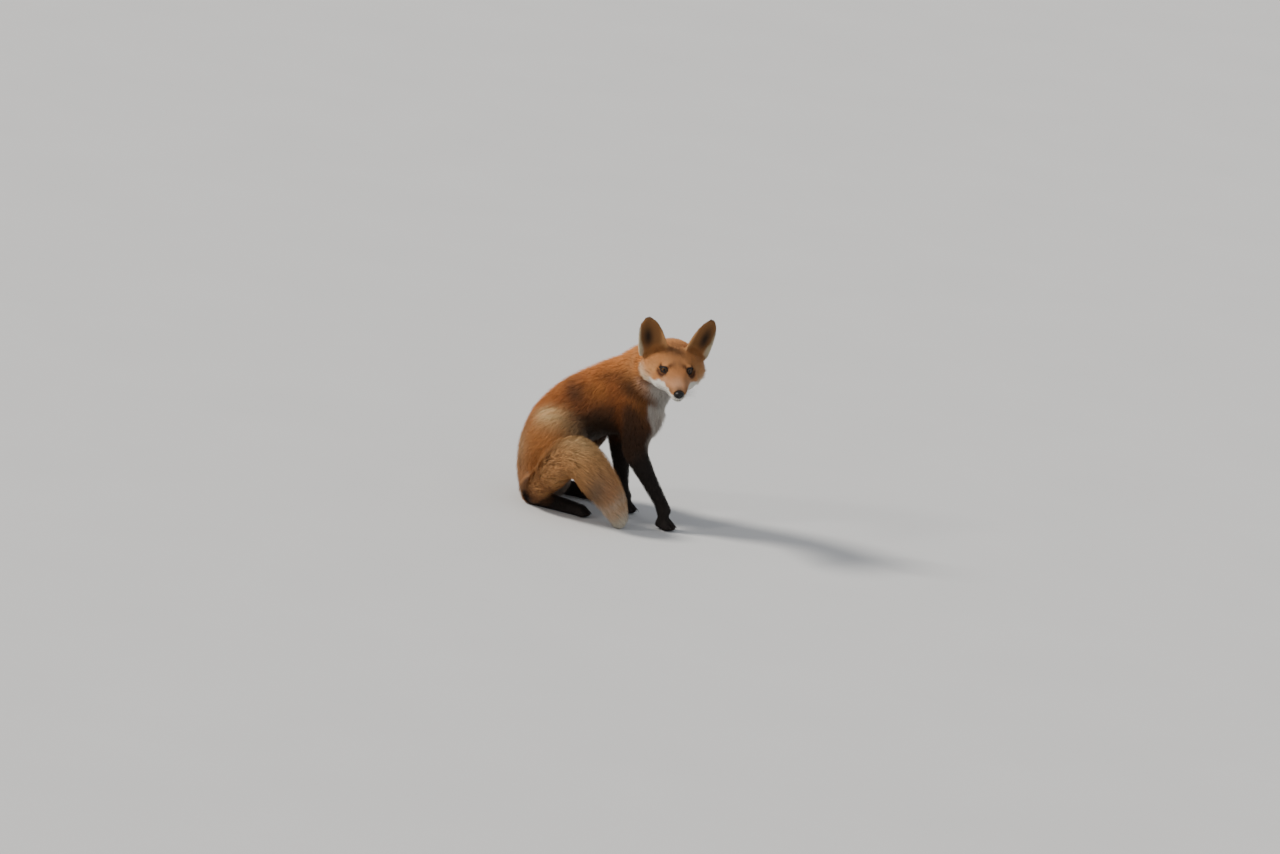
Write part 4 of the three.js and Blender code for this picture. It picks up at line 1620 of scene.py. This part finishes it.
def lock_mesh(pick, sections):
    """Blades on the picked roots: each has rings of left, ridge and right, then the tip."""
    stations = np.array(RINGS[sections])[:, None, None]
    r, b, e = (values[pick][None] for values in (start, bend, tips))
    centre = (1 - stations) ** 2 * r + 2 * stations * (1 - stations) * b + stations**2 * e
    ahead = unit(2 * (1 - stations) * (b - r) + 2 * stations * (e - b))
    normal = roots["normal"][pick][None]
    side = unit(np.cross(ahead, normal))
    ridge = np.cross(side, ahead)
    half = (widths[pick][None] * np.array(SWELL[sections])[:, None] / 2)[..., None]
    ring = np.stack([centre + side * half, centre + ridge * half * RIDGE, centre - side * half], 2)
    count, per = len(pick), sections * 3 + 1
    cloud = np.empty((count, per, 3))
    cloud[:, :-1] = ring.transpose(1, 0, 2, 3).reshape(count, sections * 3, 3)
    cloud[:, -1] = tips[pick]
    cloud[..., 2] = np.maximum(cloud[..., 2], LOWEST)
    first = (np.arange(count) * per)[:, None, None]
    return cloud, (blade_faces(sections)[None] + first).reshape(-1, 3)


def mesh_from(name, cloud, faces):
    mesh = bpy.data.meshes.new(name)
    mesh.vertices.add(len(cloud))
    mesh.vertices.foreach_set("co", cloud.astype(np.float32).ravel())
    mesh.loops.add(faces.size)
    mesh.loops.foreach_set("vertex_index", faces.astype(np.int32).ravel())
    mesh.polygons.add(len(faces))
    mesh.polygons.foreach_set("loop_start", np.arange(0, faces.size, 3, dtype=np.int32))
    mesh.polygons.foreach_set("use_smooth", np.ones(len(faces), bool))
    mesh.update(calc_edges=True)
    return mesh


def along_lock(sections):
    return np.append(np.repeat(RINGS[sections], 3), 1.0)


def lock_colours(pick, sections):
    t = along_lock(sections)[None, :, None]
    colour = roots["colour"][pick][:, None]
    tone = rng.uniform(*UNEVEN_TONE, (len(pick), 1, 1))
    short = smooth(5, 2, roots["plan"][pick, DEPTH])[:, None, None]
    root_tone = ROOT_TONE + (1 - ROOT_TONE) * short
    shade = root_tone + (TIP_TONE - root_tone) * smooth(0, 0.75, t)
    ticked = (guard[pick] & (rng.uniform(size=len(pick)) < TICKED))[:, None, None]
    ticked = ticked * smooth(*TICKED_LENGTHS, roots["plan"][pick, LENGTH])[:, None, None]
    return np.clip(colour * tone * shade * (1 - TICKED_DARKER * ticked * smooth(0.45, 0.9, t)), 0, 1)


def add_map(mesh, name, flat, faces):
    layer = mesh.uv_layers.new(name=name)
    layer.data.foreach_set("uv", flat[faces.ravel()].astype(np.float32).ravel())


def coat_piece(name, pick, sections, material):
    """Its Coat attribute holds the colours, OFBake its place on the baked map, Strand the streaks."""
    cloud, faces = lock_mesh(pick, sections)
    mesh = mesh_from(name, cloud.reshape(-1, 3), faces)
    colour_attribute(mesh, "Coat", lock_colours(pick, sections).reshape(-1, 3))
    t = along_lock(sections)
    across = np.append(np.tile([0.0, 0.5, 1.0], sections), 0.5)
    patch = np.stack([across, t + 0.08 * np.append(np.tile([0, 1, 0], sections), 0)], 1)
    flat = bake_places(roots["place"][pick], roots["node"][pick])[:, None] + BAKE_PATCH * (patch - 0.5)
    add_map(mesh, "OFBake", flat.reshape(-1, 2), faces)
    reach = np.linalg.norm(tips[pick] - start[pick], axis=1)[:, None] / MM
    strand = np.stack([across * widths[pick][:, None] / MM, t * reach], 2)
    strand += rng.uniform(0, STRAND_SHIFT, (len(pick), 1, 2))
    add_map(mesh, "Strand", strand.reshape(-1, 2), faces)
    mesh.materials.append(material)
    return declared(new_object(name, mesh))


def lock_finish():
    """Fine streaks along each lock, so that one blade reads as many hairs."""
    material, shader = finish("fur", Roughness=0.6, Specular_IOR_Level=0.22)
    colour = add_node(material, "ShaderNodeAttribute", attribute_name="Coat")
    place = add_node(material, "ShaderNodeUVMap", uv_map="Strand")
    stretch = {"Vector": place.outputs["UV"], "Scale": STREAKS}
    stretched = add_node(material, "ShaderNodeMapping", stretch)
    streaks = {"Vector": stretched.outputs[0], "Scale": 1.0, "Detail": 2.0}
    noise = add_node(material, "ShaderNodeTexNoise", streaks)
    darkest, lightest = STREAK_TONES
    levels = {"Value": noise.outputs["Fac"], "From Min": 0.3, "From Max": 0.7}
    levels = {**levels, "To Min": darkest, "To Max": lightest}
    shade = add_node(material, "ShaderNodeMapRange", levels)
    tinted = times_colour(material, colour.outputs["Color"], shade.outputs[0])
    link(material, tinted, shader.inputs["Base Color"])
    dull = {"Value": noise.outputs["Fac"], "To Min": 0.5, "To Max": 0.75}
    link(material, add_node(material, "ShaderNodeMapRange", dull).outputs[0], shader.inputs["Roughness"])
    add_bump(material, shader, noise.outputs["Fac"], STREAK_DEPTH, 0.6)
    return material


def locks_of(piece, parts):
    """The roots that a piece takes; the head's are parted between its face and the rest."""
    owner = PART_OF_FLESH[roots["node"]]
    here = in_parts(owner, *parts)
    ahead = (to_head(roots["place"])[:, 0] > FACE_END) | in_parts(owner, "jaw")
    if piece == "coat_face":
        here &= ahead
    if piece == "coat_head":
        here &= ~ahead
    return np.flatnonzero(here)


fur_finish = lock_finish()
total = 0
for piece, (parts, sections, slot) in COAT_PIECES.items():
    picked = locks_of(piece, parts)
    triangle_count = len(coat_piece(piece, picked, sections, fur_finish).data.polygons)
    total += triangle_count
    print(f"{piece}: {len(picked)} locks, {triangle_count} triangles")
print("coat:", total, "triangles")

# %% [markdown]
# ## Claws and whiskers
# A claw and a whisker are the same kind of thing: a bent cone of horn or hair that grows out of one
# place. One node tree makes both from named inputs. It sweeps a tapering curve, puts a copy on each
# point of a mesh, turned to that point's own aim, and realizes the copies into plain mesh.

# %% The tree
INPUTS = [
    # (name, kind, what it is unless it is given)
    ("Length", "NodeSocketFloat", 0.01),
    ("Thickness", "NodeSocketFloat", 0.001),
    ("Bend", "NodeSocketFloat", 0.2),
    ("Taper", "NodeSocketFloat", 0.9),
    ("Seed", "NodeSocketInt", 1),
    ("Finish", "NodeSocketMaterial", None),
]
CURVE_STEPS, SPIKE_SIDES = 7, 6


def spike_tree():
    tree = bpy.data.node_groups.new("bent_cones", "GeometryNodeTree")
    face = tree.interface
    face.new_socket("Geometry", in_out="INPUT", socket_type="NodeSocketGeometry")
    for name, kind, value in INPUTS:
        socket = face.new_socket(name, in_out="INPUT", socket_type=kind)
        if value is not None:
            socket.default_value = value
    face.new_socket("Geometry", in_out="OUTPUT", socket_type="NodeSocketGeometry")
    given = tree.nodes.new("NodeGroupInput").outputs

    def node(kind, inputs, **settings):
        return tree_node(tree, kind, inputs, **settings)

    def times(a, b):
        return node("ShaderNodeMath", {0: a, 1: b}, operation="MULTIPLY").outputs[0]

    length = given["Length"]
    middle = node("ShaderNodeCombineXYZ", {"Z": times(length, 0.55)}).outputs[0]
    end = {"X": times(length, given["Bend"]), "Z": times(length, 0.95)}
    end = node("ShaderNodeCombineXYZ", end).outputs[0]
    path = {"Resolution": CURVE_STEPS, "Start": (0, 0, 0), "Middle": middle, "End": end}
    path = node("GeometryNodeCurveQuadraticBezier", path).outputs["Curve"]
    along = node("GeometryNodeSplineParameter", {}).outputs["Factor"]
    lost = times(along, given["Taper"])
    left = node("ShaderNodeMath", {0: 1.0, 1: lost}, operation="SUBTRACT").outputs[0]
    round_section = {"Resolution": SPIKE_SIDES, "Radius": times(given["Thickness"], 0.5)}
    section = node("GeometryNodeCurvePrimitiveCircle", round_section).outputs["Curve"]
    sweep = {"Curve": path, "Profile Curve": section, "Scale": left, "Fill Caps": True}
    cone = node("GeometryNodeCurveToMesh", sweep).outputs["Mesh"]
    aim = node("GeometryNodeInputNamedAttribute", {"Name": "aim"}, data_type="FLOAT_VECTOR")
    turn = node("FunctionNodeAlignRotationToVector", {"Vector": aim.outputs["Attribute"]}, axis="Z")
    droop = node("GeometryNodeInputNamedAttribute", {"Name": "droop"}, data_type="FLOAT_VECTOR")
    bent = {"Rotation": turn.outputs[0], "Vector": droop.outputs["Attribute"]}
    bent = node("FunctionNodeAlignRotationToVector", bent, axis="X", pivot_axis="Z").outputs[0]
    size = node("GeometryNodeInputNamedAttribute", {"Name": "size"}, data_type="FLOAT")
    spread = {2: 0.88, 3: 1.1, "Seed": given["Seed"]}
    spread = node("FunctionNodeRandomValue", spread, data_type="FLOAT").outputs[1]
    scale = times(size.outputs["Attribute"], spread)
    copies = {"Points": given["Geometry"], "Instance": cone, "Rotation": bent, "Scale": scale}
    copies = node("GeometryNodeInstanceOnPoints", copies).outputs[0]
    solid = node("GeometryNodeRealizeInstances", {"Geometry": copies}).outputs[0]
    finished = {"Geometry": solid, "Material": given["Finish"]}
    finished = node("GeometryNodeSetMaterial", finished).outputs[0]
    tree.links.new(finished, tree.nodes.new("NodeGroupOutput").inputs[0])
    return tree


bent_cones = spike_tree()
print("bent cones: inputs", ", ".join(name for name, _, _ in INPUTS))

# %% Growing them on points
def grown(name, places, aims, droops, sizes, slot, **inputs):
    """A cone on each place: aim is where it points, droop the way that it bends, size its scale."""
    mesh = bpy.data.meshes.new(name)
    mesh.from_pydata([tuple(place) for place in places], [], [])
    for key, vectors in (("aim", aims), ("droop", droops)):
        values = np.array(vectors, np.float32).ravel()
        mesh.attributes.new(key, "FLOAT_VECTOR", "POINT").data.foreach_set("vector", values)
    values = np.array(sizes, np.float32)
    mesh.attributes.new("size", "FLOAT", "POINT").data.foreach_set("value", values)
    seeds = new_object(name, mesh)
    modifier = seeds.modifiers.new("bent_cones", "NODES")
    modifier.node_group = bent_cones
    sockets = [item for item in bent_cones.interface.items_tree if item.in_out == "INPUT"]
    identifiers = {socket.name: socket.identifier for socket in sockets}
    for key, value in inputs.items():
        modifier[identifiers[key]] = value
    evaluated = seeds.evaluated_get(bpy.context.evaluated_depsgraph_get())
    result = bpy.data.meshes.new_from_object(evaluated)
    bpy.data.objects.remove(seeds)
    result.polygons.foreach_set("use_smooth", np.ones(len(result.polygons), bool))
    return declared(new_object(name, result))


def horn(name, code, roughness, noise_scale, bump):
    """Dark horn or hair: its colour and gloss vary a little along it."""
    material, shader = finish(name, Specular_IOR_Level=0.4)
    noise = object_noise(material, noise_scale)
    ramp = add_node(material, "ShaderNodeValToRGB", {"Fac": noise.outputs["Fac"]})
    ramp.color_ramp.elements[0].color = (*(linear(code) * 0.6), 1)
    ramp.color_ramp.elements[1].color = (*(linear(code) * 1.6), 1)
    link(material, ramp.outputs["Color"], shader.inputs["Base Color"])
    gloss = {"Value": noise.outputs["Fac"], "To Min": roughness - 0.1, "To Max": roughness + 0.1}
    link(material, add_node(material, "ShaderNodeMapRange", gloss).outputs[0], shader.inputs["Roughness"])
    add_bump(material, shader, noise.outputs["Fac"], bump)
    return material


# %% [markdown]
# A claw sits above the tip of each toe and curves down towards the ground. Foxes' claws don't draw in,
# so their dark points show beyond the fur. The outer toes end further back than the middle ones.

# %% Claws
CLAW_TOES = [(-1.5, -9.5), (-0.5, -1.5), (0.5, -1.5), (1.5, -9.5)]  # across in spacings, ahead in mm
CLAW_BACK = 4.5  # how far its root lies behind the toe's front
CLAW_UP = 12
CLAW_AIM = (1.0, 0, -0.25)
CLAW_SHAPE = {"Thickness": 3.0 * MM, "Bend": 0.42, "Taper": 0.88}
CLAW_LENGTH = {"forepaw": 11 * MM, "hindfoot": 9.5 * MM}


def claws():
    places, sizes = [], []
    for node in FEET:
        low, high = node_box(node)
        for across, ahead in CLAW_TOES:
            y = (low[1] + high[1]) / 2 + across * TOE_SPACING * MM
            places.append((high[0] + (ahead - CLAW_BACK) * MM, y, CLAW_UP * MM))
            sizes.append(CLAW_LENGTH[part_of(node)] / CLAW_LENGTH["forepaw"])
    aims = [unit(np.array(CLAW_AIM))] * len(places)
    droops = [(0, 0, -1)] * len(places)
    inputs = {"Length": CLAW_LENGTH["forepaw"], "Seed": 4, **CLAW_SHAPE}
    inputs["Finish"] = horn("claw", "2B221C", roughness=0.42, noise_scale=500.0, bump=0.1 * MM)
    grown("claws", places, aims, droops, sizes, "nose_leather", **inputs)
    print("claws:", len(places))


claws()

# %% [markdown]
# The whiskers stand in rows on the pads beside the nose, black and springy, the hindmost longest. They
# sweep out and back. A ray from beside the face finds the skin, so each root is in it.

# %% Whiskers
skin_tree = BVHTree.FromPolygons(points.tolist(), triangles.tolist())
WHISKER_ROWS, WHISKER_COLUMNS = 4, 5
FIRST_WHISKER = (64, -37)  # x and z of the lowest row's foremost one, in mm in the head's frame
ROW_SPACING, COLUMN_SPACING = 3.6, 5.5
ROW_BACK, COLUMN_DOWN = 1.5, 0.3  # how much further back a row starts, and how a column sinks
BESIDE_FACE = 40  # mm to the side, where the ray starts
WHISKER_ROOT = 0.6 * MM  # how deep it stands in the skin
WHISKER_SHAPE = {"Length": 58 * MM, "Thickness": 0.42 * MM, "Bend": 0.28, "Taper": 0.85}


def whiskers():
    places, aims, droops, sizes = [], [], [], []
    for side in SIDES.values():
        for row in range(WHISKER_ROWS):
            for column in range(WHISKER_COLUMNS - row // 2):
                x = FIRST_WHISKER[0] - COLUMN_SPACING * column - ROW_BACK * row
                z = FIRST_WHISKER[1] + ROW_SPACING * row - COLUMN_DOWN * column
                beside = from_head([x, side * BESIDE_FACE, z])
                found = skin_tree.ray_cast(Vector(beside), Vector(-side * head_left))[0]
                if found is None:
                    continue
                sweep = np.array([-0.35 - 0.08 * column, 0.85 * side, -0.18 + 0.12 * row])
                places.append(np.array(found) - head_left * side * WHISKER_ROOT)
                aims.append(unit(HEAD_AXES @ sweep))
                droops.append(unit(HEAD_AXES @ np.array([-0.6, 0, -0.5])))
                sizes.append(0.5 + 0.12 * column)
    inputs = {"Seed": 9, **WHISKER_SHAPE}
    inputs["Finish"] = horn("whisker", "1A1512", roughness=0.45, noise_scale=200.0, bump=0.02 * MM)
    grown("whiskers", places, aims, droops, sizes, "coat_black", **inputs)
    print("whiskers:", len(places))


whiskers()


# %% [markdown]
# ## Floor, light and camera
# A plain pale floor and a pale room all round. The key is a wide, soft sun from the upper left, so it
# lights the whole floor evenly. A weaker one from nearer the camera reaches the face and the chest,
# and a third, wide and cool, fills from the right. The camera looks at the fox's right side from
# slightly above, with its frame turned as if it stood on a slope.

# %% Floor and lights
FLOOR_SIZE = 60
ROOM_LIGHT = 0.46
SUNS = [
    # (name, azimuth, elevation, strength, spread, colour): angles in degrees, as seen from the fox
    ("key", -72, 40, 3.9, 12, (1.0, 0.95, 0.87)),
    ("front", -40, 28, 0.6, 6, (1.0, 0.96, 0.9)),
    ("fill", 60, 25, 0.4, 40, (0.9, 0.95, 1.0)),
]


def floor():
    material, shader = finish("floor", Roughness=0.75)
    noise = object_noise(material, 3.0)
    span = {"Value": noise.outputs["Fac"], "To Min": 0.60, "To Max": 0.64}
    tone = add_node(material, "ShaderNodeMapRange", span)
    levels = {"Red": tone.outputs[0], "Green": tone.outputs[0], "Blue": tone.outputs[0]}
    grey = add_node(material, "ShaderNodeCombineColor", levels)
    link(material, grey.outputs[0], shader.inputs["Base Color"])
    half = FLOOR_SIZE / 2
    corners = [(-half, -half, 0), (half, -half, 0), (half, half, 0), (-half, half, 0)]
    mesh = bpy.data.meshes.new("floor")
    mesh.from_pydata(corners, [], [(0, 1, 2, 3)])
    mesh.materials.append(material)
    new_object("floor", mesh)


def sun(name, azimuth, elevation, strength, spread, colour):
    """A soft light from far away, so it falls off nowhere."""
    light = bpy.data.lights.new(name, "SUN")
    light.energy = strength
    light.angle = math.radians(spread)
    light.color = colour
    turn, rise = math.radians(azimuth), math.radians(elevation)
    place = (math.sin(turn) * math.cos(rise), -math.cos(turn) * math.cos(rise), math.sin(rise))
    lamp = new_object(name, light)
    lamp.rotation_euler = Vector(place).to_track_quat("Z", "Y").to_euler()


def room(strength):
    world = bpy.data.worlds.new("room")
    world.use_nodes = True
    background = world.node_tree.nodes["Background"]
    background.inputs["Color"].default_value = (0.92, 0.95, 1.0, 1)
    background.inputs["Strength"].default_value = strength
    bpy.context.scene.world = world


floor()
room(ROOM_LIGHT)
for settings in SUNS:
    sun(*settings)
print("floor, room and", len(SUNS), "lights")

# %% Camera
VIEW_AZIMUTH, VIEW_ELEVATION, VIEW_ROLL = (math.radians(a) for a in (18, 14, 8))
TARGET = (0.0390, 0.1005, 0.1811)
LENS, SENSOR = 200, 36
SPAN = 2.688  # width that the camera sees at the target


def camera():
    back = np.array([
        math.sin(VIEW_AZIMUTH) * math.cos(VIEW_ELEVATION),
        -math.cos(VIEW_AZIMUTH) * math.cos(VIEW_ELEVATION),
        math.sin(VIEW_ELEVATION),
    ])
    level = unit(np.cross([0, 0, 1], back))
    lift = np.cross(back, level)
    right = math.cos(VIEW_ROLL) * level + math.sin(VIEW_ROLL) * lift
    up = np.cross(back, right)
    data = bpy.data.cameras.new("camera")
    data.lens = LENS
    data.sensor_width = SENSOR
    data.clip_start = 0.1
    data.clip_end = 100
    viewer = new_object("camera", data)
    place = np.array(TARGET) + back * SPAN * LENS / SENSOR
    matrix = np.eye(4)
    matrix[:3, :3] = np.stack([right, up, back], 1)
    matrix[:3, 3] = place
    viewer.matrix_world = Matrix(matrix.tolist())
    bpy.context.scene.camera = viewer
    return place


print("camera at", camera().round(2))
